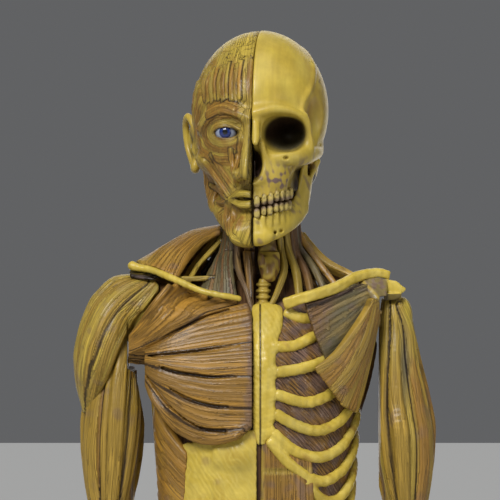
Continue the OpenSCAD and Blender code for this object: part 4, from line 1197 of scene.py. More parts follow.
def pectoral():
    c = Clay((-59, -46, 430), (-2, 0, 510), FINE)
    guides = [[[x, fan_depth(x, z), z, w, 4.4 if -46 < x < -6 else 2.6] for x, z, w in rows] for rows in FAN]
    rows = ribbons(guides, FAN_COUNT, (MUSCLE, AMBER, MUSCLE, MUSCLE), wide=0.62)
    strands = []
    for i, (row, tint, _) in enumerate(rows):
        group = sum(i > g for g in FAN_GROOVES)
        strands.append(Strand(row, trunk_out, tint, flat=True, group=group))
    for s in strands:
        c.add(s, 1.2)
    for i in FAN_GROOVES:
        between = (rows[i][0] + rows[i + 1][0]) / 2
        cleft = between[1:-1].copy()
        cleft[:, 1] -= 4.0
        cleft[:, 3] = 0.6
        cleft[:, 4] = 1.1
        c.cut(Strand(cleft, trunk_out), 0.4)
    c.keep(lambda x, y, z: x + 2.7)
    c.keep(arm_gap)
    p = Piece(c, MUSCLE)
    p.follow(strands, reach=3, groove=0.8, faint=0.2)
    p.push(-0.3 * p.groove)
    x = p.points[:, 0]
    p.paint(MUSCLE_DARK, (1 - step_between(0.0, 2.6, -2.8 - x + wave_noise(p.points, 4, 52) * 0.9)) * 0.8)
    p.paint(STAIN, (1 - step_between(0.0, 5.0, -2.8 - x + wave_noise(p.points, 5, 55) * 2)) * 0.5)
    p.paint(STAIN, p.near((-22, -30, 498), (16, 12, 5)) * 2 * p.patches(-0.2, 0.6, 5, 54))
    p.mottle(AMBER, 0.0, 1.0, 16, 53, 0.5)
    p.build("pectoralis_major_right", FIBRE, "figure")


def pectoral_minor():
    """Slips from the ribs that join under the shoulder blade's hook, and a dull sheet beside them."""
    hook = [50.5, -18, 497.5, 1.5, 2.0]
    guides = [[hook, [44, -24, 486, 2.4, 2.4], [34.5, -30, 474, 2.4, 1.8], [26, -33.5, 468.6, 1.6, 0.9]],
              [hook, [46, -23.4, 482, 2.4, 2.4], [39.4, -28, 468, 2.4, 1.8], [33, -31, 459.5, 1.8, 0.9]],
              [[51.6, -17, 496.6, 1.4, 2.0], [46.6, -22, 480, 2.2, 2.4], [41.6, -25, 464, 2.2, 1.8],
               [37.8, -27.4, 453, 1.8, 0.9]],
              [[53, -15.5, 495.4, 1.2, 2.0], [49.0, -18.6, 478, 1.8, 2.2], [45.6, -20.5, 462, 2.0, 1.8],
               [43, -20.5, 450, 1.6, 0.9]]]
    rows = ribbons(guides, 10, (OLIVE, MUSCLE, MUSCLE), wide=1.15)
    rows.append(([[47, -10, 505.4, 1.2, 1.2], [36, -17, 500.6, 1.4, 1.4], [22, -23, 496, 1.2, 1.0]], STAIN,
                 6))
    plane = [[[48.5, -9, 503.6, 2.6, 1.0], [34, -16, 499, 3.4, 1.1], [22, -22, 494.5, 2.6, 0.8]],
             [[50, -13, 497, 2.6, 1.0], [37.5, -20.5, 489, 3.6, 1.1], [26, -26.6, 483, 2.8, 0.8]],
             [[48, -15, 491, 2.6, 1.0], [40, -21, 481, 3.6, 1.1], [30, -27.6, 474, 2.8, 0.8]]]
    rows += ribbons(plane, 9, (GREY, DEEP_OLIVE), wide=1.5, group=5)

    def shade(p):
        x, _, z = p.points.T
        inner = (1 - step_between(24, 36, x + 0.3 * (490 - z))) * (z > 470 + 0.9 * (x - 24))
        p.paint(MUSCLE_DARK, inner * 0.85)
        p.paint(STAIN, inner * p.patches(-0.2, 0.7, 5, 44) * 0.6)
    sheet_group("pectoralis_minor_left", rows, (16, -42, 446), (56, -4, 506), MUSCLE,
                cell=FINE, relief=0.3, paint=shade)


def collar_bone(name, strand, low, high):
    c = Clay(low, high, FINE)
    c.add(strand, 1.5)
    c.keep(arm_gap)
    p = Piece(c, BONE)
    p.mottle(BONE_PALE, -0.3, 0.9, 9, len(name), 0.7)
    p.push(0.1 * wave_noise(p.points, 3.5, len(name) + 1))
    p.build(name, SMOOTH, "figure")


UP = away_from((0, 0, 300))


def clavicles():
    right = Strand([[-8.6, -22, 499.6, 1.3], [-14, -22.6, 500.6, 1.4], [-24, -21.6, 502.6, 1.4],
                    [-35, -16.5, 507, 1.6], [-46, -9.4, 511.6, 1.6], [-53, -6, 513, 1.7],
                    [-56.4, -4.6, 514, 2.1]], UP)
    collar_bone("clavicle_right", right, (-60, -30, 490), (0, 4, 520))
    left = Strand([[13.0, -22.6, 497.6, 1.8, 2.6], [18, -23.2, 499.4, 1.8, 2.4], [26, -21.5, 501.6, 1.8, 2.4],
                   [35, -17, 504.6, 1.8, 2.5], [45, -9.6, 509.4, 1.8, 2.3], [53, -5.4, 510.8, 1.8, 2.1],
                   [57.4, -3.6, 510.0, 1.8, 2.0]], UP, flat=True)
    collar_bone("clavicle_left", left, (4, -30, 488), (64, 8, 520))


def scapula():
    """Blade, spine and flat outer end, and the hook with its dull plate of ligament up to the collar bone."""
    c = Clay((18, -26, 444), (70, 50, 512), FINE)
    back = away_from((0, 0, 480))
    ahead = away_from((52, 40, 500))
    c.add(Strand([[44, 33, 503, 6, 1.6], [38, 38.5, 490, 11, 1.5], [33, 40, 470, 9, 1.5],
                  [30, 38, 450, 3, 1.5]],
                 back), 0)
    c.add(Strand([[23, 42.5, 492, 1.8], [36, 42.5, 497, 2.2], [50, 33, 503, 2.4], [59, 17, 505, 3.2, 1.8]],
                 UP), 1.5)
    c.add(Strand([[30, 40, 506, 1.4], [24, 42.5, 492, 1.6], [24, 42.5, 470, 1.5], [30, 38, 450, 2]], back),
          1.5)
    c.add(Strand([[44, 14, 501, 3.4], [44.5, -2, 502.6, 3.0], [49, -10, 502.4, 2.6],
                  [53.6, -12.6, 499.4, 2.0]], UP), 1.5)
    c.add(Strand([[59, 17, 505, 3.2, 1.8], [61.4, 8, 504.6, 3.6, 2.0], [61, -1, 504.2, 3.6, 2.4]], UP), 1.5)
    outer = [Strand([[57.6, -5.4, 505.6, 1.2, 2.2], [60.4, -5.6, 504.2, 1.2, 3.2],
                     [63.2, -5.2, 503.4, 1.2, 2.2], [65.4, -4.4, 503.4, 0.9, 0.8]], UP, flat=True),
             Strand([[58.4, -4.4, 502.6, 1.2, 1.6], [62, -4.0, 501.8, 1.2, 1.0]], UP, flat=True)]
    # a lip under the acromion's front that closes the slit there, painted black below as shade
    lip = Strand([[57.4, -7.4, 500.2, 1.0, 1.8], [60.6, -7.0, 500.2, 1.0, 1.6],
                  [63.4, -6.4, 500.8, 0.9, 1.2]], UP, flat=True)
    for s in outer:
        c.add(s, 1.2)
    plate = [[[46.4, -7.6, 507, 1.4, 0.9], [49.6, -12, 502.6, 1.5, 1.0], [52.4, -14.4, 499.4, 1.2, 1.0]],
             [[51, -7, 507.4, 1.8, 0.9], [52.6, -11.6, 502, 1.6, 1.0], [54, -13.6, 498.4, 1.2, 1.0]],
             [[55.6, -6, 507, 1.8, 0.9], [55.8, -10.6, 502, 1.4, 1.0], [55.6, -12.6, 497.6, 1.0, 1.0]]]
    plate = [Strand(r, ahead, DEEP_OLIVE, flat=True) for r, _, _ in ribbons(plate, 6, wide=1.2)]
    for s in plate:
        c.add(s, 0.6)
    c.keep(arm_gap)
    c.add(lip, 0.4)
    p = Piece(c, BONE)
    x, y, z = p.points.T
    p.mottle(BONE_PALE, -0.3, 0.9, 9, 12, 0.5)
    front = step_between(2, -4, y) * step_between(58.4, 57.0, x)
    p.paint(DEEP_OLIVE, front)
    # painted black shade on the lip and under the acromion's front
    p.paint(WASH_AND_SHADE, (z < 501.4) * (x > 57.2) * (y < 0) * 0.8)
    p.paint(STAIN, front * p.patches(-0.1, 0.7, 4, 14) * 0.7)
    p.paint(TENDON, front * (1 - step_between(0.4, 1.4, np.abs(z - 507.4 + 1.05 * (x - 46.4)))) * 0.8)
    p.wash_and_shade += front * 0.15
    p.push(0.1 * wave_noise(p.points, 3.5, 13))
    p.build("scapula_left", SMOOTH, "figure")


def trapezius():
    """From the nape to the collar bone's end, and down the back to a point."""
    upper = [[[-17.6, 9, 529, 2.2, 1.2], [-26, 5, 524.6, 2.6, 1.6], [-32.8, -3, 517.6, 2.6, 1.9],
              [-37.5, -12, 509, 2.2, 1.4]],
             [[-18, 13, 530.4, 2.4, 1.2], [-29, 10, 526.4, 3.0, 1.8], [-38.4, 1, 519, 2.8, 2.2],
              [-45, -8.5, 511.6, 2.4, 1.5]],
             [[-17.6, 17, 530.8, 2.4, 1.2], [-30, 16, 527.6, 3.0, 2.0], [-42.6, 8, 520.6, 2.8, 2.2],
              [-51, -3, 513.8, 2.4, 1.5]],
             [[-14, 23, 530, 2.6, 1.2], [-28, 24, 526.8, 3.2, 2.0], [-43, 16, 519.4, 3.0, 2.2],
              [-54.6, 2, 514, 2.4, 1.5]],
             [[-4, 30, 529, 2.6, 1.2], [-22, 32, 521, 3.6, 2.0], [-42, 24, 514.5, 3.2, 2.2],
              [-55, 8, 511.6, 2.4, 1.5]]]
    lower = [[[-1.4, 36, 520, 2.4, 1.4], [-16, 37, 514, 3.4, 2.2], [-36, 31, 510, 3.2, 2.2],
              [-50, 19, 508, 2.4, 1.6]],
             [[-1.4, 40, 502, 2.6, 1.4], [-16, 40.5, 502, 3.4, 2.2], [-36, 36, 502, 3.2, 2.0],
              [-48, 25, 503, 2.2, 1.4]],
             [[-1.4, 41.6, 484, 2.8, 1.4], [-12, 41.6, 490, 3.2, 2.2], [-26, 40, 497, 2.8, 1.8],
              [-40, 34, 500, 1.8, 1.4]],
             [[-1.4, 40, 462, 2.8, 1.4], [-8, 41, 470, 3.0, 2.0], [-19, 41, 484, 2.6, 1.8],
              [-31, 38.4, 497, 1.8, 1.4]],
             [[-1.2, 38, 440, 1.6, 1.2], [-5, 39.4, 452, 2.4, 1.6], [-13, 41, 472, 2.2, 1.6],
              [-26, 39.6, 493, 1.6, 1.2]]]
    rows = ribbons(upper, 15, (MUSCLE, MUSCLE, AMBER), wide=1.3)
    rows += ribbons(lower, 19, (MUSCLE, AMBER, MUSCLE), wide=1.3, group=1)
    # two black sheets that stand for shade: in the gap beside the neck, and in the slit along the collar bone
    rows.append(([[-16.4, 16, 522, 4, 1], [-20, 16, 517, 5, 1], [-25, 15, 510, 4, 1]], WASH_AND_SHADE, 2))
    rows.append(([[-41, -8, 510.6, 5, 0.9], [-49, -6.2, 511, 5, 0.8], [-57.4, -4, 511.6, 4, 0.8]], WASH_AND_SHADE, 2))

    def clear_of_collar(c):
        x, y, z = c.everywhere()
        bone = Strand([[-36, -16, 505.5, 2.4], [-48, -9, 511.6, 2.4], [-58, -5, 513.6, 2.6]], UP)
        c.cut(bone, 0.2)
        c.keep(lambda x, y, z: np.where(z > 520.5, 18.7 - from_neck(x, y), -5))
        c.keep(lambda x, y, z: np.where((x < -43) & (y < 20), 15.7 - from_hub(y, z, RIGHT_HUB), -5))

    def ends(p):
        x, y, z = p.points.T
        p.paint(TENDON, (1 - step_between(1.0, 5.0, -x)) * (y > 20) * 0.8)
        p.dab(BONE, (-50, 0, 513), (12, 10, 7), 0.8)
    sheet_group("trapezius_right", rows, (-60, -20, 432), (0, 48, 534), MUSCLE,
                out=away_from((-8, 8, 480)), cell=MIDDLE, mend=clear_of_collar, soft=1.0, paint=ends)


def latissimus():
    guides = [[trunk_point(-172 + 8 * f, 438 - 78 * f, 1.0) + [3.4, 1.4],
               trunk_point(-140 + 4 * f, 446 - 60 * f, 3.0) + [3.6, 2.6],
               trunk_point(-112, 462 - 36 * f, 3.6) + [2.8, 2.8],
               trunk_point(-93 - 2 * f, 474 - 10 * f, 2.6) + [2.0, 2.4]] for f in (0, 0.5, 1)]
    guides.append([trunk_point(-150, 353, 1.0) + [3.8, 1.4], trunk_point(-126, 372, 2.4) + [4.2, 2.2],
                   trunk_point(-108, 408, 3.0) + [3.4, 2.4], trunk_point(-95, 456, 2.4) + [2.0, 2.2]])
    rows = ribbons(guides, 21, (MUSCLE, MUSCLE, OLIVE), wide=1.2)

    def ends(p):
        p.paint(TENDON, (1 - step_between(3, 12, -p.points[:, 0] - 0.10 * (440 - p.points[:, 2]))) * 0.9)
    sheet_group("latissimus_right", rows, (-52, -6, 352), (0, 48, 484), MUSCLE,
                soft=1.0, paint=ends)


def shoulder_blade_muscles(side, name):
    guides = [[[23 + 2 * i, 40 - 1.6 * i, 494 - 15 * i, 3.0, 1.6],
               [38, 37.6 - 1.8 * i, 489 - 11 * i, 3.4, 3.0],
               [50, 25 - i, 487 - 5 * i, 1.8, 2.2]] for i in range(4)]
    rows = ribbons(guides, 17, (None, MUSCLE, OLIVE), wide=1.2, lobes=0.2)
    if side > 0:                      # the blade's outer border, painted dark as shade behind the chest
        for y in (6, 12, 18):
            rows.append(([[51.6, y, 493, 2.4, 3.4], [50, y + 1, 478, 2.6, 4], [47, y + 2, 462, 2.6, 4],
                          [43, y + 3, 446, 2.4, 3]], DEEP, 9 + y))
    sheet_group(name, rows, (20, -4, 440), (56, 46, 500), MUSCLE, side=side)


def erector_spinae():
    rows = [([[3.5 + 4.4 * i, 37 - i, 508, 1.8, 1.8], [4 + 4.6 * i, 39.4 - i * 1.4, 480, 2.5, 2.6],
              [4 + 4.8 * i, 36 - i, 430, 2.7, 3], [4 + 4.6 * i, 30, 385, 2.6, 3],
              [3 + 4 * i, 29, 350, 2.2, 2.2]], None, i)
            for i in range(4)]
    sheet_group("erector_spinae_left", rows, (0, 18, 340), (24, 50, 514), MUSCLE_DARK)


def spine_processes():
    c = Clay((-3, 26, 344), (3, 56, 514), COARSE * 0.8)
    for i in range(13):
        z = 352 + i * 12.6
        y = 37 + 4 * math.sin((z - 352) / 156 * 2.6)
        c.add(Strand([[0, y - 4, z + 2, 1.5, 3], [0, y + 2, z, 1.7, 3], [0, y + 5, z - 2.4, 2, 2]],
                     trunk_out), 1.2)
    Piece(c, BONE).build("spine_processes", SMOOTH, "figure")


SHEATH = [(438, 424), (424, 407), (407, 389), (389, 350)]   # the four sections of the straight muscle


def rectus_sheath():
    """The yellow sheath over the straight muscle, which runs out sideways to the oblique."""
    rows = []
    for i in range(9):
        x = -3.4 - i * 3.7
        rows.append(([[x, trunk_front(x, 441 - i * 0.9, 0.4), 441 - i * 0.9, 3.4, 1.2],
                      [x * 1.02, trunk_front(x, 415, 1.3), 415, 3.4, 1.6],
                      [x * 0.96, trunk_front(x, 385, 1.3), 385, 3.2, 1.6],
                      [x * 0.8, trunk_front(x, 348, 0.6), 348, 2.6, 1.2]], None, 0))

    def shape(c):
        for k, (top, foot) in enumerate(SHEATH):
            for x in (-7.4, -14.6):
                x *= 1 if k < 3 else 0.85
                z = (top + foot) / 2
                c.add(Ball((x, trunk_front(x, z, -0.6), z), (5.6, 4.4, (top - foot) / 2.1), 2.6), 1.6)
        c.keep(lambda x, y, z: x + 0.7)
        c.keep(lambda x, y, z: 345 - z)
        c.keep(lambda x, y, z: z - 436.5 - 0.08 * (x + 20) ** 2 * (x > -20) - 0.3 * (-20 - x) * (x < -20))

    def look(p):
        x, _, z = p.points.T
        p.groove *= 0
        p.flow = np.stack([x * 0.85 + z * 0.53, z * 0.85 - x * 0.53, z * 0], axis=1)
        p.push(0.07 * np.sin(p.flow[:, 0] * 3.2 + 2 * wave_noise(p.points, 9, 74)))
        streaks = np.sin(p.flow[:, 0] * 1.7 + 3 * wave_noise(p.points, 9, 75))
        p.paint(BONE_PALE, step_between(0.3, 1.0, streaks) * 0.5)
        p.mottle(OLIVE, 0.5, 1.3, 10, 72, 0.2)
        p.mottle(BONE_PALE, -0.6, 0.8, 14, 76, 0.5)
    sheet_group("rectus_sheath_right", rows, (-40, -40, 342), (0, -8, 450), BONE,
                cell=FINE, mend=shape, relief=0.1, paint=look, skin=SMOOTH)


def oblique_right():
    """From the ribs at the side down to the sheath's edge."""
    guides = [[trunk_point(-100 - i * 2, 458 - i * 46, 0.8) + [2.6, 1.6],
               trunk_point(-74, 446 - i * 46, 2.6) + [3.2, 2.8],
               trunk_point(-56, 434 - i * 44, 2.4) + [3.2, 2.4],
               trunk_point(-41, 424 - i * 38, 1.0) + [2.6, 1.4]]
              for i in range(3)]

    def trim(c):
        c.keep(lambda x, y, z: np.maximum(344 - z, x + 31 + 0.06 * (436 - z)))
    sheet_group("oblique_right", ribbons(guides, 17, (MUSCLE, AMBER, MUSCLE), wide=1.2), (-52, -38, 336),
                (-24, 36, 466),
                MUSCLE, cell=MIDDLE, mend=trim)


def rectus_left():
    guides = [[[x, trunk_front(x, 437, 0.2), 437 - 0.5 * max(x - 10, 0), 1.8, 1.0],
               [x * 1.02, trunk_front(x, 410, 1.8), 410, 2.2, 2.0],
               [x * 0.98, trunk_front(x, 380, 1.8), 380, 2.1, 2.0],
               [x * 0.7, trunk_front(x, 346, 0.8), 346, 1.6, 1.4]]
              for x in (3.4, 12.6, 21.6)]

    def shape(c):
        for _, foot in SHEATH[:3]:
            line = [[x, trunk_front(x, foot, 3.4), foot, 0.8] for x in (1, 22)]
            c.cut(Strand(line, trunk_out), 0.8)
        c.keep(lambda x, y, z: np.maximum(0.9 - x, 345 - z))

    def look(p):
        x, _, z = p.points.T
        p.paint(TENDON, (1 - step_between(1.6, 3.4, x)) * 0.8)
        for _, foot in SHEATH[:3]:
            p.paint(TENDON, (1 - step_between(0.8, 2.2, np.abs(z - foot))) * 0.7)
        p.mottle(STAIN, 0.0, 0.9, 9, 73, 0.5)
    sheet_group("rectus_abdominis_left", ribbons(guides, 8, wide=1.1),
                (0, -40, 338), (26, -10, 444), MUSCLE, cell=FINE, mend=shape, paint=look)


def oblique_left():
    guides = [[trunk_point(104 + i * 2, 408 - i * 24, 0.8) + [2.4, 1.6],
               trunk_point(76, 402 - i * 24, 2.2) + [3.0, 2.4],
               trunk_point(52, 397 - i * 22, 2.2) + [3.0, 2.4],
               trunk_point(32, 393 - i * 19, 0.8) + [2.4, 1.4]]
              for i in range(3)]

    def trim(c):
        c.keep(lambda x, y, z: np.maximum(344 - z, 20 - x))
    sheet_group("oblique_left", ribbons(guides, 17, (MUSCLE, MUSCLE_DARK, OLIVE), wide=1.0),
                (16, -38, 336), (52, 36, 416), MUSCLE_DARK, cell=MIDDLE, mend=trim)


# ---------------------------------------------------------------- the neck
def within_head(c):
    """Keeps what stays clear of the turning head: of the chin in front, and of all of it higher up."""
    def room(x, y, z):
        r = from_neck(x, y)
        under_chin = (z > 520.5) & (8 - y > 0.6 * np.abs(x - 2))
        return np.where((z > 529) | under_chin, r - 18.4, -5)
    c.keep(room)


NECK_OUT = away_from_line((2, 8, 490), (2, 8, 550))
THROAT_OUT = away_from((2, 8, 500))


def neck_column():
    c = Clay((-34, -18, 494), (42, 36, 556), FINE)
    c.add(Strand([[0, 12, 496, 24, 16], [1.4, 10, 508, 16, 13.5], [2, 9, 520, 13.6, 13.4],
                  [2, 8, 556, 14, 14]],
                 away_from((0, 200, 520))), 0)
    c.keep(lambda x, y, z: z - 553)
    strands = [Strand([[-6.4, -7.4, 534, 1.8, 1.6], [-4.6, -10, 519, 2.0, 1.8], [-3.2, -14.6, 505, 1.8, 1.8],
                       [-2.8, -17.5, 497, 1.4, 1.4]], NECK_OUT, MUSCLE, flat=True),
               Strand([[-3.4, -8.4, 530, 1.2, 1.4], [-2.4, -11, 515, 1.3, 1.6], [-2.2, -15, 501, 1.2, 1.4]],
                      NECK_OUT, MUSCLE_DARK, flat=True)]
    for i in range(9):                # the deep strands at the side and back
        a = math.radians(58 + i * 32)
        x, y = 2 + 15.6 * math.sin(a), 9 - 15.6 * math.cos(a)
        rows = [[x, y, 554, 2.6, 1.6], [x * 1.03, y + 0.5, 522, 3.4, 2.2], [x * 1.5, y + 1, 500, 4.2, 2.4]]
        strands.append(Strand(rows, NECK_OUT, MUSCLE_DARK, ends=MUSCLE, fade=0.3, flat=True))
    for s in strands:
        c.add(s, 0.8)
    within_head(c)
    c.cut(Strand([[2.6, -15, 509, 4.6, 6], [2.6, -17, 494, 4.6, 6]], THROAT_OUT), 0.8)
    p = Piece(c, DEEP)
    p.follow(strands, reach=2, groove=1)
    # painted shade: darker all over, and more in the throat's hollow behind the larynx
    p.wash_and_shade += 0.2 + 0.4 * (1 - step_between(-10, -3, p.points[:, 1])) * (np.abs(p.points[:, 0] - 2.6) < 6)
    p.build("neck_column", FIBRE, "figure")


def sternomastoid():
    """The cords in front, a broad dull sheet behind them, and three thin ones out to the shoulder."""
    rows = [([[-9.2, -3.4, 541, 1.8, 1.2], [-9.6, -4, 529, 1.8, 1.2], [-9.6, -4.4, 521, 1.6, 1.4],
              [-8.6, -10.4, 512, 1.3, 1.6],
              [-5, -15.8, 503, 1.1, 1.6], [-2.6, -18.8, 493.6, 1.0, 1.4]], CORD, 1)]
    broad = [[[-11.4, 0.4, 541, 1.4, 1.0], [-12, -0.4, 529, 1.6, 1.0], [-12.6, -1.6, 521, 1.8, 1.2],
              [-13.4, -9.6, 511, 2.0, 1.2], [-12, -15, 500, 2.2, 1.2]],
             [[-13, 4, 541, 1.4, 1.0], [-13.8, 3.6, 529, 1.6, 1.0], [-14.6, 2.6, 521, 1.8, 1.2],
              [-17, -7.6, 511, 2.2, 1.2], [-18, -14, 500.5, 2.4, 1.2]],
             [[-14, 8, 541, 1.4, 1.0], [-14.8, 7.6, 529, 1.6, 1.0], [-16, 6.4, 521, 1.8, 1.2],
              [-20.4, -5, 512.4, 2.0, 1.2], [-24, -12, 503, 2.2, 1.2]]]
    rows += ribbons(broad, 9, (GREY, MUSCLE_DARK, GREY), wide=1.4, group=2)
    rows += [([[-15, 12, 530, 1.2, 1.2], [-19, 9, 523, 1.4, 1.2], [-27, 2, 514, 1.2, 1.2],
               [-31, -5, 507, 1.2, 1.2]], TENDON, 3),
             ([[-14, 15, 531, 1.2, 1.2], [-20, 12, 525, 1.2, 1.2], [-28, 7, 516, 1.2, 1.2],
               [-33, 0, 508, 1.2, 1.2]], OLIVE, 4),
             ([[-36, -10, 508.4, 1.0, 1.0], [-28, -10.6, 508.2, 1.2, 1.0], [-20, -11, 508.6, 1.0, 1.0]],
              TENDON, 5)]
    sheet_group("sternomastoid_right", rows, (-38, -24, 492), (1, 20, 545), MUSCLE_DARK,
                out=NECK_OUT, cell=FINE, mend=within_head, gap=False)


def scalenes():
    """Cords from the throat round to the nape, spreading to the ribs and the shoulder blade."""
    rows = [([[8.6, -5.4, 538, 1.2, 1.2], [9.6, -5.4, 529, 1.4, 1.2], [10.4, -5.2, 521, 1.5, 1.2],
              [11.6, -10.8, 512, 1.5, 1.5],
              [8.4, -16, 502, 1.3, 1.4], [5, -18.6, 495.5, 1.1, 1.2]], TENDON, 0),
            ([[11.8, -3.2, 540, 1.4, 1.2], [12.6, -3.2, 529, 1.6, 1.2], [13.6, -2.6, 521, 1.7, 1.4],
              [17, -8, 511, 1.8, 1.6], [18.4, -13, 500, 1.7, 1.4]], TENDON, 1),
            ([[14.6, 0.6, 540, 1.3, 1.1], [15.4, 0.8, 529, 1.6, 1.1], [16.6, 1.2, 521, 1.8, 1.4],
              [21.4, -4, 511, 1.9, 1.6], [24, -10, 500.5, 1.7, 1.4]], None, 2),
            ([[16.4, 4.6, 541, 1.3, 1.1], [17.0, 5, 530, 1.6, 1.1], [18.8, 5.4, 522, 1.9, 1.4],
              [25, 0, 513, 2.1, 1.6], [30.4, -6, 502, 1.9, 1.4]], GREY, 3),
            ([[17, 9, 542, 1.3, 1.1], [17.6, 9.6, 533, 1.4, 1.2], [20.2, 9.6, 525, 1.6, 1.6],
              [27, 4.6, 515.6, 1.8, 1.6], [35, -1, 505, 1.6, 1.4]], MUSCLE, 4),
            ([[16, 15, 541, 2.2, 1.2], [17.4, 16, 532, 2.8, 1.4], [22, 15.6, 524, 3.0, 2.0],
              [31, 13, 514.6, 3.0, 2.0], [43, 9, 508.5, 2.6, 1.6]], OLIVE, 5),
            ([[10, 22, 538, 2.8, 1.4], [15, 24, 526, 3.4, 2.2], [28, 26, 512, 3.6, 2.4],
              [45, 21, 507, 2.6, 2]], None, 6),
            ([[3, 24, 536, 2.8, 1.4], [6, 30, 520, 3.6, 2.2], [14, 36, 506, 3.8, 2.4],
              [26, 38, 497, 2.6, 2]], None, 7),
            # a black sheet deep in the gap between neck and shoulder: painted shade
            ([[22, 11, 513, 4, 1], [29, 10, 507, 5, 1], [36, 9, 501, 4, 1]], WASH_AND_SHADE, 8)]
    sheet_group("scalenes_left", rows, (0, -24, 492), (50, 42, 545), MUSCLE_DARK,
                out=NECK_OUT, cell=FINE, mend=within_head, gap=False)


def larynx():
    c = Clay((-4, -24, 503), (14, -2, 532), FINE * 0.8)
    out = away_from((2, 8, 514))
    c.add(Strand([[3.6, -6.4, 530, 3.4, 2.6], [4.2, -7.4, 522, 4.2, 3.0], [4.6, -11.4, 516, 4.8, 3.8],
                  [4.6, -13.4, 510, 3.4, 3.6]], out), 0)
    c.add(Ball((1.4, -16.0, 516.4), (1.6, 1.4, 3.2)), 1.2)
    c.add(Strand([[8.4, -10.4, 521, 1.0], [8.8, -11.4, 513, 1.0], [6.6, -13.4, 508, 0.9]], out), 0.8)
    within_head(c)
    c.keep(lambda x, y, z: -0.4 - x)
    p = Piece(c, TENDON)
    p.mottle(MUSCLE_DARK, -0.4, 0.5, 5, 81, 0.9)
    # painted shade at the top, under the chin
    p.wash_and_shade += 0.5 * step_between(518, 524, p.points[:, 2])
    p.build("larynx", SMOOTH, "figure", wash=1.4)


def trachea():
    c = Clay((-4, -22, 491), (8, -6, 508), FINE * 0.8)
    c.add(Strand([[2.4, -13.4, 507, 2.2], [2.4, -15.2, 492, 2.2]], THROAT_OUT), 0)
    for i in range(5):
        ring = [[2.4 + 2.7 * math.sin(t), -13.4 - i * 0.4 - 2.7 * math.cos(t), 505.6 - i * 2.8, 0.75]
                for t in np.radians(np.arange(-110, 111, 22))]
        c.add(Strand(ring, THROAT_OUT), 0.3)
    p = Piece(c, TENDON)
    # painted shade, darker towards its sides where it meets the neck
    p.wash_and_shade += step_between(1.0, 2.8, np.abs(p.points[:, 0] - 2.4)) * 0.5
    p.build("trachea", SMOOTH, "figure", wash=2.0)


# ---------------------------------------------------------------- the arms
def clear_of_trunk(c):
    """Cuts what a right arm's piece would sweep through the trunk."""
    x, y, z = c.everywhere()
    r = from_hub(y, z, RIGHT_HUB) - 1.2 * step_between(496, 498, z)
    beside = np.maximum(-(x + 51), 15.2 - r)
    fan = np.maximum(np.maximum(-(x + 58.4), 15.2 - r), r - 29.7)
    c.field = np.maximum(c.field, -np.minimum(beside, fan))
    c.field = np.maximum(c.field, x + 44.3)


def clear_of_left(c):
    x, y, z = c.everywhere()
    r = from_hub(y, z, LEFT_HUB)
    c.field = np.maximum(c.field, 54.5 - x)
    c.field = np.maximum(c.field, np.where(z > 490, r - 10.1, -5))


DELTOID = [  # guides from the front border round to the back, all to one point on the upper arm
    [[-45.8, -7.8, 503.4, 1.4, 1.6], [-52, -10.4, 495.6, 1.6, 1.8], [-58.4, -9.4, 488, 1.8, 2.0],
     [-63.4, -12.8, 478, 1.8, 2.2],
     [-69, -11.8, 464, 1.6, 2.0], [-75.4, -5, 451, 1.0, 1.4]],
    [[-47.6, -6.4, 506.0, 2.0, 1.8], [-56.4, -9.0, 498, 2.2, 2.2], [-63.6, -12.0, 490, 2.6, 2.6],
     [-69, -14.6, 476, 2.4, 2.8],
     [-73.4, -10.6, 461, 1.8, 2.2], [-76, -4.4, 450.6, 1.0, 1.4]],
    [[-50, -4.4, 507.2, 2.0, 1.8], [-58.4, -8.4, 503.4, 2.2, 2.2], [-68, -12, 494, 2.6, 2.8],
     [-75, -12, 477, 2.6, 3.0],
     [-77.4, -8, 462, 2.0, 2.2], [-76.8, -3.4, 450, 1.0, 1.4]],
    [[-55, -1.6, 508.4, 2.0, 1.8], [-64, -4, 506.4, 2.4, 2.4], [-73.4, -5.6, 495.6, 2.6, 2.8],
     [-79, -5, 477, 2.6, 3.0],
     [-79.4, -3, 461, 2.0, 2.2], [-77.2, -2, 449.4, 1.0, 1.4]],
    [[-55, 3.4, 508.4, 2.0, 1.8], [-64, 3.6, 506.6, 2.4, 2.4], [-73.6, 3, 495.6, 2.6, 2.8],
     [-79.6, 3, 477, 2.6, 3.0],
     [-79.6, 1, 461, 2.0, 2.2], [-77.4, -1, 449.4, 1.0, 1.4]],
    [[-51, 8.0, 506.6, 2.0, 1.8], [-60, 10, 504, 2.2, 2.4], [-70.4, 12, 494.6, 2.6, 2.8],
     [-76.6, 11, 477, 2.6, 3.0],
     [-78, 6, 461, 2.0, 2.2], [-77.2, 1, 449.6, 1.0, 1.4]],
    [[-47, 11.6, 503.4, 2.0, 1.8], [-57, 13, 499.6, 2.2, 2.2], [-63.6, 16, 490, 2.4, 2.6],
     [-70.6, 16, 475, 2.4, 2.8],
     [-75, 10, 461, 1.8, 2.2], [-76.6, 3, 450.4, 1.0, 1.4]]]


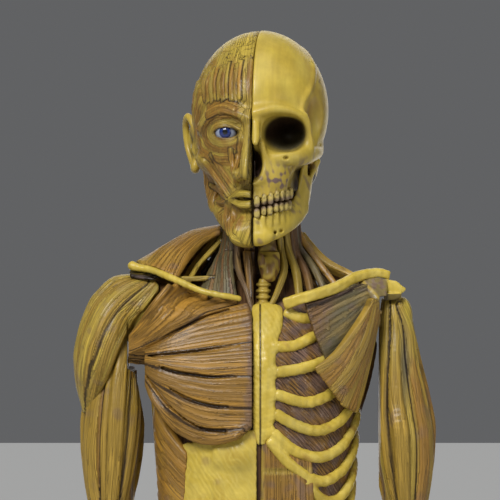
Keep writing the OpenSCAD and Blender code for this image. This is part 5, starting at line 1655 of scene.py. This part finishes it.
def deltoid():
    rows = ribbons(DELTOID, 21, (OLIVE, TENDON, OLIVE), wide=1.2, lobes=0.1)
    rows = [(r, t, g // 2) for r, t, g in rows]

    def border(p):
        x, y, z = p.points.T
        patch = wave_noise(p.points, 9, 91) + 0.8
        edge = p.near((-52, -11, 497), (13, 5, 16)) * step_between(0.1, 1.2, patch)
        p.paint(TENDON, edge * 0.9)
        p.paint(BONE, (1 - step_between(448, 458, z)) * 0.4)
        rim = np.abs(x + 45.8 + 0.52 * (503.4 - z)) + 40 * (y > 2)
        p.paint(BONE_PALE, (1 - step_between(0.3, 1.3, rim)) * 0.7)
    sheet_group("deltoid_right", rows, (-86, -24, 444), (-43, 26, 516), OLIVE,
                body="arm_right", out=away_from((-60, 2, 480)), cell=FINE, mend=clear_of_trunk, gap=False,
                core=[Ball((-65, 2, 488), (13.6, 12.4, 17)), Ball((-54, 2, 495), (12, 13, 13)),
                      Ball((-68, 1, 474), (8.4, 10, 18))], paint=border, relief=0.25)


def upper_arm(s, name):
    """The muscles round the upper arm, in order from the front outward, round the back, and home."""
    guides = [
        [[60, -6, 482, 2.6, 2.6], [62, -11.5, 462, 4.4, 3.6], [63.5, -13.4, 440, 5, 4.2],
         [65, -10, 414, 4, 3.6], [66.5, -7, 398, 3, 2]],
        [[70.5, -6, 466, 2.6, 2.4], [73.6, -7, 446, 3.6, 3.4], [74.6, -6.4, 424, 3.8, 3.6],
         [72, -6, 404, 3.4, 3], [69, -5, 394, 3, 2]],
        [[70, 6, 474, 3, 3], [75, 5, 455, 3.6, 3.4], [76.6, 4, 438, 4, 3.6], [74, 5, 412, 3.6, 3.4],
         [70, 8, 396, 3, 2]],
        [[66, 13, 474, 3.4, 3], [69, 14, 455, 4.4, 3.4], [69, 14, 436, 4.4, 3.4], [67, 12, 404, 3.4, 2.6],
         [67, 10, 396, 3, 2]],
        [[58, 12, 472, 3, 3], [58.6, 13, 452, 4, 3.6], [59.4, 12.6, 432, 4.2, 3.6], [63, 12, 404, 3.4, 2.6],
         [64, 10, 396, 3, 2]],
        [[55.6, 4, 462, 2.4, 2.8], [54.8, 4, 444, 3.4, 3.4], [56, 4, 424, 3.4, 3.4], [60, 3, 404, 3, 2.6],
         [62, 3, 396, 3, 2]],
        [[56.6, -5, 470, 2.4, 2.6], [56.4, -8, 455, 3.8, 3.6], [57.4, -9.4, 438, 4.4, 4],
         [61, -8, 414, 3.8, 3.4], [65, -7, 400, 3, 2]]]
    core = [Strand([[64.5, 2, 480, 9, 10], [65, 2, 455, 9.6, 11], [65, 1, 425, 9.6, 11],
                    [66.6, 1, 394, 10, 10]], away_from((s * 64, 200, 440)), side=s)]
    if s < 0:                         # the deltoid covers its top
        guides[6][0] = [57.8, -4, 467, 1.8, 1.8]
        guides[5][0] = [57.4, 3, 463, 1.8, 2.2]
        core[0] = Strand([[66, 2, 480, 6, 8], [65.4, 2, 464, 7.6, 9.6], [65, 2, 450, 9.6, 11],
                          [65, 1, 425, 9.6, 11], [66.6, 1, 394, 10, 10]], away_from((-64, 200, 440)), side=s)
    if s > 0:                         # no deltoid over it: tendons rise over the bone's head
        starts = [(60.6, -3.6, 498.2), (64.0, -5.0, 495.0), (67.6, 5, 494), (64.6, 7.4, 495),
                  (59, 7.4, 495.6), (57.2, 3, 498), (57.8, -3.2, 498.2)]
        middles = [(61.5, -6.6, 484), (68, -4.6, 484), (68.8, 5, 484), (65.8, 9.2, 484), (59, 9.2, 484),
                   (56, 3, 484), (56.8, -5.2, 484)]
        uppers = [(61.4, -9.6, 470), (69.4, -6, 468), (72, 6, 468), (67, 13, 468), (59, 12.6, 468),
                  (55.6, 4, 467), (56.4, -8, 468)]
        for g, a, m, b in zip(guides, starts, middles, uppers):
            g[0] = [*a, 1.6, 1.6]
            g[1][2] = min(g[1][2], 452)
            g[1:1] = [[*m, 2.2, 2.0], [*b, 2.8, 2.6]]
        core = [Strand([[62.6, 2, 478, 6, 8], [63.5, 2, 460, 8, 9.5], [65.4, 1, 425, 9.6, 11],
                        [66.6, 1, 394, 10, 10]],
                       away_from((64, 200, 440)), side=s), Ball((62, 2, 490), (6.8, 9, 9.8)),
                Ball((65, 2.6, 490.6), (4.6, 7.4, 9.2))]
    tints = (OLIVE, OLIVE, MUSCLE) if s < 0 else (OLIVE, TENDON, OLIVE, MUSCLE)
    rows = ribbons(guides + guides[:1], 26, tints, wide=0.75, lobes=0.35)[:-1]

    def ends(p):
        z = p.points[:, 2]
        p.paint(TENDON, (1 - step_between(394, 410, z)) * 0.7)
        if s > 0:
            p.paint(TENDON, step_between(458, 482, z + 5 * wave_noise(p.points, 6, 92)) * 0.8)
            p.dab(BONE, (68, 0, 493), (4.4, 12, 10), 2.4)
            # painted black shade in the hollow at the top of the arm's front
            p.dab(WASH_AND_SHADE, (62, -6, 499.6), (1.4, 6, 1.8), 2)
            p.dab(GREY, (65.5, -10, 470), (3, 8, 30), 1.2)
    sheet_group("upper_arm_" + name, rows, (50, -22, 392), (84, 24, 502), OLIVE, body="arm_" + name,
                out=away_from_line((s * 64, 2, 490), (s * 66, 1, 394)), cell=FINE,
                mend=clear_of_trunk if s < 0 else clear_of_left, gap=False, core=core, paint=ends, side=s)


def forearm(s, name):
    """Ribbons that twist from the elbow to the wrist, where they thin to tendons."""
    # x, y, z, radius, depth over width, twist
    stations = [(67, 1, 396, 9.4, 1.0, 0.0), (70, 0, 377, 11.8, 1.0, 0.25), (72, -1, 358, 10.6, 1.05, 0.5),
                (75, -3, 328, 6.2, 1.25, 0.8), (76, -4, 306, 4.2, 1.6, 1.0)]
    count = 18
    rows = []
    for i in range(count):
        lobe = 1 + 0.10 * math.cos(i * 2 * math.pi / 3.6)
        row = []
        for x, y, z, r, deep, twist in stations:
            a = 2 * math.pi * i / count + 0.9 * twist
            row.append([x + r * lobe * math.sin(a), y - r * lobe * deep * math.cos(a), z, r * 0.26, 2.4])
        rows.append((row, MUSCLE if i % 4 == 0 else OLIVE, int(i / 3.6 + 0.5) % 5))
    core = [Strand([[67, 1, 394, 8, 8], [70, 0, 376, 10, 10], [72, -1, 356, 9, 9.4],
                    [75, -3, 326, 5.4, 7.4], [76, -4, 306, 4.2, 6.8]], away_from((s * 70, 200, 350)), side=s)]

    def flat_ends(c):
        c.keep(lambda x, y, z: np.maximum(z - 397, 306 - z))

    def wrist(p):
        p.paint(TENDON, (1 - step_between(316, 350, p.points[:, 2] + 6 * wave_noise(p.points, 5, 93))) * 0.85)
    sheet_group("forearm_" + name, rows, (52, -20, 304), (90, 20, 400), OLIVE, body="arm_" + name,
                out=away_from_line((s * 67, 1, 396), (s * 76, -4, 306)), gap=False, core=core,
                mend=flat_ends, paint=wrist, side=s)


def hand(s, name):
    c = Clay(*sided(s, (62, -34, 238), (88, 16, 310)), COARSE * 0.7)
    out = away_from((s * 60, -5, 280))
    palm = [[76, -4, 308, 7.6, 5], [76.6, -5, 298, 9.4, 4.8], [77, -5, 284, 12, 4.4],
            [76.8, -5, 274, 11.6, 3.8]]
    c.add(Strand(palm, out, side=s), 0)
    strands = []
    for i in range(4):
        y = -14.6 + i * 6.5
        tip = 245 + abs(i - 1.4) * 3.4
        finger = [[77.2, y, 276, 2.7], [78, y, 268, 2.9], [77.4, y + 0.2, 259, 2.5],
                  [76.4, y + 0.3, 257, 2.8],
                  [74.6, y + 0.4, (257 + tip) / 2, 2.3], [72.6, y + 0.5, tip, 1.9]]
        cord = [[80, -5 + (y + 5) * 0.5, 302, 0.9], [80.6, y, 274, 1.1]]
        strands.append(Strand(finger, out, TENDON, side=s))
        strands.append(Strand(cord, out, BONE, side=s))
    thumb = [[74.6, -11, 300, 4.2], [72.4, -18.6, 286, 3.7], [71, -22, 276, 2.7], [70.4, -23, 267, 2.2]]
    strands.append(Strand(thumb, out, TENDON, side=s))
    for t in strands:
        c.add(t, 1.2)
    p = Piece(c, TENDON)
    p.follow(strands, reach=1.2, groove=0.5)
    knuckle = np.abs(((p.points[:, 2] - 241) % 9) - 4.5) < 0.7
    p.wash_and_shade += knuckle * (p.points[:, 2] < 270) * 0.2
    if s > 0:
        p.paint(BONE, 0.7)
    p.build("hand_" + name, SMOOTH if s > 0 else FIBRE, "arm_" + name)


# ---------------------------------------------------------------- hips and legs
def pelvis():
    c = Clay((-52, -32, 296), (52, 40, 358), COARSE)
    core = [[0, 6, 300, 20, 15], [0, 5, 316, 42, 23], [0, 4, 335, 46, 26], [0, 2, 356, 42, 25]]
    c.add(Strand(core, away_from((0, 400, 330)), step=6), 0)
    crest = [trunk_point(34, 340, 1) + [2.6, 2], trunk_point(62, 350, 2.6) + [3, 2.4],
             trunk_point(100, 355, 2.4) + [3, 2.2], trunk_point(140, 352, 1.6) + [2.6, 2]]
    for s in (-1, 1):
        c.add(Strand(crest, trunk_out, side=s), 3)
    p = Piece(c, MUSCLE_DARK)
    x, _, z = p.points.T
    p.paint(BONE, step_between(344, 352, z + wave_noise(p.points, 6, 61) * 2) * (np.abs(x) > 26))
    p.build("pelvis", FIBRE, "figure")


def gluteus(s, name, tint):
    rows = []
    for f in np.arange(9) / 8:
        rows.append(([[6 + 4 * f, 27 - 2 * f, 352 - 46 * f, 3.6, 3],
                      [24 + 4 * f, 34 - 4 * f, 349 - 45 * f, 4.4, 4],
                      [43 + 3 * f, 23 - 5 * f, 345 - 37 * f, 3.6, 4], [50, 8, 334 - 28 * f, 2.4, 2.4]],
                     None, 0))
    sheet_group("gluteus_" + name, rows, (1, -2, 286), (56, 46, 362), tint,
                out=away_from((s * 24, 0, 322)), gap=False, core=[Ball((s * 27, 20, 326), (21, 15, 25))],
                soft=1.6, ends=TENDON, fade=0.2, side=s)


def leg_group(name, rows, low, high, skin, s, axis, core, mend, fade):
    """A leg's piece: thick strands round its axis, over a core, with tendons at their ends."""
    sheet_group(name, rows, low, high, skin, out=axis, gap=False, core=[core], soft=2.2, mend=mend,
                ends=TENDON, fade=fade, flat=False, side=s)


def thigh(s, name, skin, other):
    rows = [
        [[42, -16, 336, 4, 3], [37, -24, 300, 7, 5], [30, -23.5, 255, 7, 5], [25, -19, 206, 4.4, 3]],
        [[50, -6, 326, 4, 4], [50, -12, 290, 7, 6], [44.6, -12, 246, 7, 6], [36, -11, 208, 5, 4]],
        [[24, -18, 270, 4, 3], [17, -18, 240, 6.4, 5], [12.6, -14, 213, 7, 5.6], [14, -11, 196, 4.4, 3]],
        [[43, -16, 342, 2.6, 2], [30, -25, 316, 2.8, 2], [15, -21, 280, 2.8, 2], [8, -6, 236, 2.8, 2],
         [9, 4, 200, 2.6, 2], [12, -4, 180, 2, 1.6]],
        [[10, -10, 312, 5, 4], [10, -8, 286, 6.6, 6], [9.4, 0, 252, 5.6, 5], [9, 6, 214, 3.6, 3.6]],
        [[20, -17, 320, 5, 3.6], [18, -18.6, 296, 6, 4], [17, -16, 270, 4.6, 3]],
        [[26, 22, 296, 6, 5], [22, 22, 260, 7, 6], [16, 18, 216, 5, 5], [12, 12, 186, 3, 3]],
        [[40, 20, 296, 6, 5], [36, 22, 260, 7, 6], [34, 18, 216, 5, 5], [35, 10, 186, 3, 3]],
        [[54, 4, 322, 3.6, 4], [52, 2, 286, 5, 6], [46, 4, 240, 5, 6], [39, 4, 196, 3, 4]]]
    core = Strand([[32, 1, 330, 20, 20], [30, 1, 296, 23, 23], [27, 1, 250, 20.6, 21], [24, 2, 205, 16, 16.6],
                   [23, 2, 184, 15.6, 16]], away_from((s * 28, 400, 260)), step=6, side=s)
    axis = away_from_line((s * 31, 1, 330), (s * 23, 2, 182))
    rows = [(row, skin if i < 3 else other, i + 1) for i, row in enumerate(rows)]

    def knee_cut(c):
        c.keep(lambda x, y, z: np.maximum(181 - z, 0.6 - s * x))
    leg_group("thigh_" + name, rows, (0, -34, 176), (62, 34, 350), skin, s,
              axis, core, knee_cut, 0.14)


def shank(s, name, skin, other):
    rows = [
        ([[30, -9, 176, 3.6, 3], [29, -7, 150, 4.6, 4], [25, -4, 110, 3.6, 3], [20, -4.6, 62, 2, 2]], skin),
        ([[35, 2, 174, 3, 3], [36, 4, 146, 4, 4], [31, 5, 104, 3, 3], [29, 10, 56, 2, 2]], other),
        ([[15, 16, 182, 4, 4], [13, 19, 154, 7, 7], [14, 19, 132, 6.4, 6], [18, 14, 104, 3.6, 3]], skin),
        ([[29, 16, 182, 4, 4], [31, 19, 156, 7, 7], [30, 19, 136, 6, 6], [25, 15, 106, 3.6, 3]], skin),
        ([[22, 21, 110, 5, 3], [21.4, 19, 84, 3, 2.4], [21, 17.6, 56, 2.6, 2.2], [21, 18, 40, 3, 2.4]], BONE),
        ([[9, 6, 160, 3.6, 4], [9, 8, 130, 4, 5], [12, 9, 94, 3, 4], [13, 10, 56, 2, 2]], other),
        ([[22, -13, 178, 3.4, 2.6], [18, -11, 150, 2.6, 2], [16, -7.6, 100, 2.2, 1.8],
          [15, -1.6, 52, 2.4, 2]],
         BONE)]
    core = Strand([[23, 2, 186, 15, 15], [22, 5, 150, 15.4, 15.4], [21.5, 7, 128, 14.6, 15],
                   [21, 6, 90, 10, 11],
                   [21, 6, 60, 8, 9.6], [21, 6, 42, 10, 11.4]], away_from((s * 22, 400, 110)), step=6, side=s)
    axis = away_from_line((s * 22, 5, 180), (s * 21, 6, 45))
    rows = [(row, tint, i + 10) for i, (row, tint) in enumerate(rows)]

    def flat_ends(c):
        c.keep(lambda x, y, z: np.maximum(z - 184, 42 - z))
    leg_group("shank_" + name, rows, (2, -20, 38), (44, 32, 188), skin, s,
              axis, core, flat_ends, 0.16)


def foot(s, name, slot):
    c = Clay(*sided(s, (4, -72, 19), (48, 36, 58)), COARSE * 0.8)
    out = away_from((s * 22, -10, 0))
    top = [[21, 20, 29, 8, 8], [21, 8, 35, 9.4, 13], [22, -10, 34, 10.6, 10], [24.6, -34, 27, 14, 7],
           [26, -46, 25, 14, 5]]
    sole = [[21, 22, 30, 8, 8], [22, 6, 24, 9, 5], [25, -30, 23, 12, 4]]
    c.add(Strand(top, out, side=s), 0)
    c.add(Strand(sole, out, side=s), 3)
    strands = []
    for i in range(5):
        x = 26 + (i - 2) * 6.1
        thick = 2.6 + (i == 0) * 1.5
        toe = [[x - (i - 2) * 1.2, -28, 32 - i, 1.6], [x, -46, 27.4 - i * 0.3, thick],
               [x + (i - 2) * 0.4, -56 + i * i * 0.5, 25.6, thick],
               [x + (i - 2) * 0.5, -63 + i * i * 0.9, 23.4, thick - 0.3]]
        strands.append(Strand(toe, out, TENDON, side=s))
    for i in range(4):
        cord = [[22, -2, 46, 1.2], [22 + i * 2, -18, 39.6 - i * 0.6, 1.1], [20 + i * 4.4, -36, 33 - i, 1.0]]
        strands.append(Strand(cord, out, BONE, side=s))
    for t in strands:
        c.add(t, 1.4)
    for x, y in ((12.4, 4), (30, 8)):  # the ankle's two knobs
        c.add(Ball((s * x, y, 46), (3.4, 5, 6)), 3)
    c.keep(lambda x, y, z: np.maximum(20.05 - z, z - 55))
    p = Piece(c, TENDON if s < 0 else BONE)
    p.follow(strands, reach=1.2, groove=0.6)
    p.build("foot_" + name, FIBRE if s < 0 else SMOOTH, "figure")


def patellae():
    c = Clay((-36, -26, 178), (36, -8, 204), COARSE * 0.7)
    for s in (-1, 1):
        out = away_from((s * 23, 0, 190))
        c.add(Ball((s * 23.4, -17.6, 191), (7, 4.4, 7.4)), 0)
        c.add(Strand([[23.6, -18, 204, 3.4, 2], [23.4, -19.6, 196, 3, 2]], out, side=s), 1.5)
        c.add(Strand([[23.2, -19, 187, 3, 2], [22.6, -16, 178, 2.6, 2]], out, side=s), 1.5)
    Piece(c, BONE).build("patellae", SMOOTH, "figure")


# ---------------------------------------------------------------- the kept CAD parts
def metal(name, colour, roughness):
    m = Nodes(name)
    m.shader.inputs["Base Color"].default_value = (*colour, 1)
    m.shader.inputs["Metallic"].default_value = 1.0
    place = m.add("ShaderNodeTexCoord").outputs["Object"]
    m.link(m.remap(m.noise(place, 600.0, 4.0), 0.3, 0.7, roughness - 0.08, roughness + 0.1),
           m.shader.inputs["Roughness"])
    return m.material


def plain(name, colour, roughness):
    m = Nodes(name)
    m.shader.inputs["Base Color"].default_value = (*colour, 1)
    m.shader.inputs["Roughness"].default_value = roughness
    return m.material


def wood():
    m = Nodes("dark_wood")
    place = m.add("ShaderNodeTexCoord").outputs["Object"]
    grain = m.noise(m.scaled(place, (9, 170, 60)), 1.0, 6.0, 0.6)
    pores = m.noise(m.scaled(place, (60, 1400, 500)), 1.0, 3.0, 0.6)
    colour = m.mix(m.remap(grain, 0.35, 0.65, 0, 1), (0.030, 0.012, 0.005), (0.115, 0.048, 0.018))
    colour = m.mix(m.remap(pores, 0.5, 0.75, 0, 0.7), colour, (0.012, 0.005, 0.002))
    m.link(colour, m.shader.inputs["Base Color"])
    m.link(m.remap(grain, 0.3, 0.7, 0.30, 0.42), m.shader.inputs["Roughness"])
    m.shader.inputs["Coat Weight"].default_value = 0.5
    m.shader.inputs["Coat Roughness"].default_value = 0.12
    relief = m.add("ShaderNodeBump")
    relief.inputs["Strength"].default_value = 0.6
    relief.inputs["Distance"].default_value = 0.2 * MM
    m.link(pores, relief.inputs["Height"])
    m.link(relief.outputs[0], m.shader.inputs["Normal"])
    return m.material


def dress(material, *names):
    for name in names:
        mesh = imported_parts[name].data
        for i in range(len(mesh.materials)):
            mesh.materials[i] = material
        if not mesh.materials:
            mesh.materials.append(material)


def cad_parts():
    dress(wood(), "plinth")
    dress(plain("pad_rubber", (0.012, 0.012, 0.012), 0.8), "plinth_pads")
    dress(metal("steel", (0.55, 0.54, 0.52), 0.32), "foot_screws", "neck_pin", "jaw_pin", "shoulder_pins")
    dress(metal("bush_brass", (0.62, 0.43, 0.16), 0.36), "neck_bush", "jaw_bush", "shoulder_bush_right",
          "shoulder_bush_left")
    dress(plain("block_paint", DEEP, 0.5), "shoulder_blocks")


# ---------------------------------------------------------------- camera, light and floor
def studio():
    floor = bpy.data.meshes.new("floor")
    size = 6.0
    floor.from_pydata([(-size, -size, 0), (size, -size, 0), (size, size, 0), (-size, size, 0)], [],
                      [(0, 1, 2, 3)])
    pale = Nodes("pale_floor")
    pale.shader.inputs["Base Color"].default_value = (0.55, 0.55, 0.54, 1)
    pale.shader.inputs["Roughness"].default_value = 0.7
    floor.materials.append(pale.material)
    floor = bpy.data.objects.new("floor", floor)
    bpy.context.scene.collection.objects.link(floor)
    sun = bpy.data.lights.new("key", "SUN")
    sun.energy = 3.1
    sun.angle = math.radians(24)
    key = bpy.data.objects.new("key", sun)
    key.location = (-0.6, -1.5, 1.6)
    key.rotation_euler = (Vector((0, 0, 0.45)) - key.location).to_track_quat("-Z", "Y").to_euler()
    bpy.context.scene.collection.objects.link(key)
    for name, place, target, energy, size in (
            ("fill", (1.5, -1.3, 0.7), (0, 0, 0.45), 7, 1.2),
            ("top", (0.1, -0.5, 2.0), (0, 0, 0.4), 7, 1.2),
            ("back", (0.1, 1.9, 0.9), (0, 0, 0.35), 11, 1.6)):
        lamp = bpy.data.lights.new(name, "AREA")
        lamp.energy = energy
        lamp.size = size
        obj = bpy.data.objects.new(name, lamp)
        obj.location = place
        obj.rotation_euler = (Vector(target) - Vector(place)).to_track_quat("-Z", "Y").to_euler()
        bpy.context.scene.collection.objects.link(obj)
    world = bpy.data.worlds.new("studio")
    world.use_nodes = True
    world.node_tree.nodes["Background"].inputs[0].default_value = (0.60, 0.61, 0.63, 1)
    world.node_tree.nodes["Background"].inputs[1].default_value = 0.20
    bpy.context.scene.world = world
    bpy.context.scene.view_settings.view_transform = "Standard"
    camera = bpy.data.cameras.new("camera")
    camera.sensor_width = 36
    camera.angle = 2 * math.atan(0.1125 / 1.2)
    obj = bpy.data.objects.new("camera", camera)
    obj.location = (-0.0036, -1.2, 0.521)
    obj.rotation_euler = (math.pi / 2, 0, 0)
    bpy.context.scene.collection.objects.link(obj)
    bpy.context.scene.camera = obj


# ---------------------------------------------------------------- the whole figure
studio()
cad_parts()
for maker in (muscle_head, ear, eye, skull_half, teeth, mandible, trunk_core, ribs, intercostals, sternum,
              pectoral, pectoral_minor, clavicles, scapula, trapezius, latissimus, erector_spinae,
              spine_processes, rectus_sheath, oblique_right, rectus_left, oblique_left, neck_column,
              sternomastoid, scalenes, larynx, trachea, deltoid):
    maker()
SIDES = ((-1, "right", "muscle"), (1, "left", "deep_muscle"))
for side, name, slot in SIDES:
    upper_arm(side, name)
    forearm(side, name)
    hand(side, name)
pelvis()
for side, name, slot in SIDES:
    skin, other = (OLIVE, MUSCLE) if side < 0 else (MUSCLE_DARK, MUSCLE_DARK)
    gluteus(side, name, other)
    thigh(side, name, skin, other)
    shank(side, name, skin, other)
    foot(side, name, "tendon" if side < 0 else "bone")
patellae()
for side, name, slot in SIDES:
    shoulder_blade_muscles(side, "scapular_muscles_" + name)
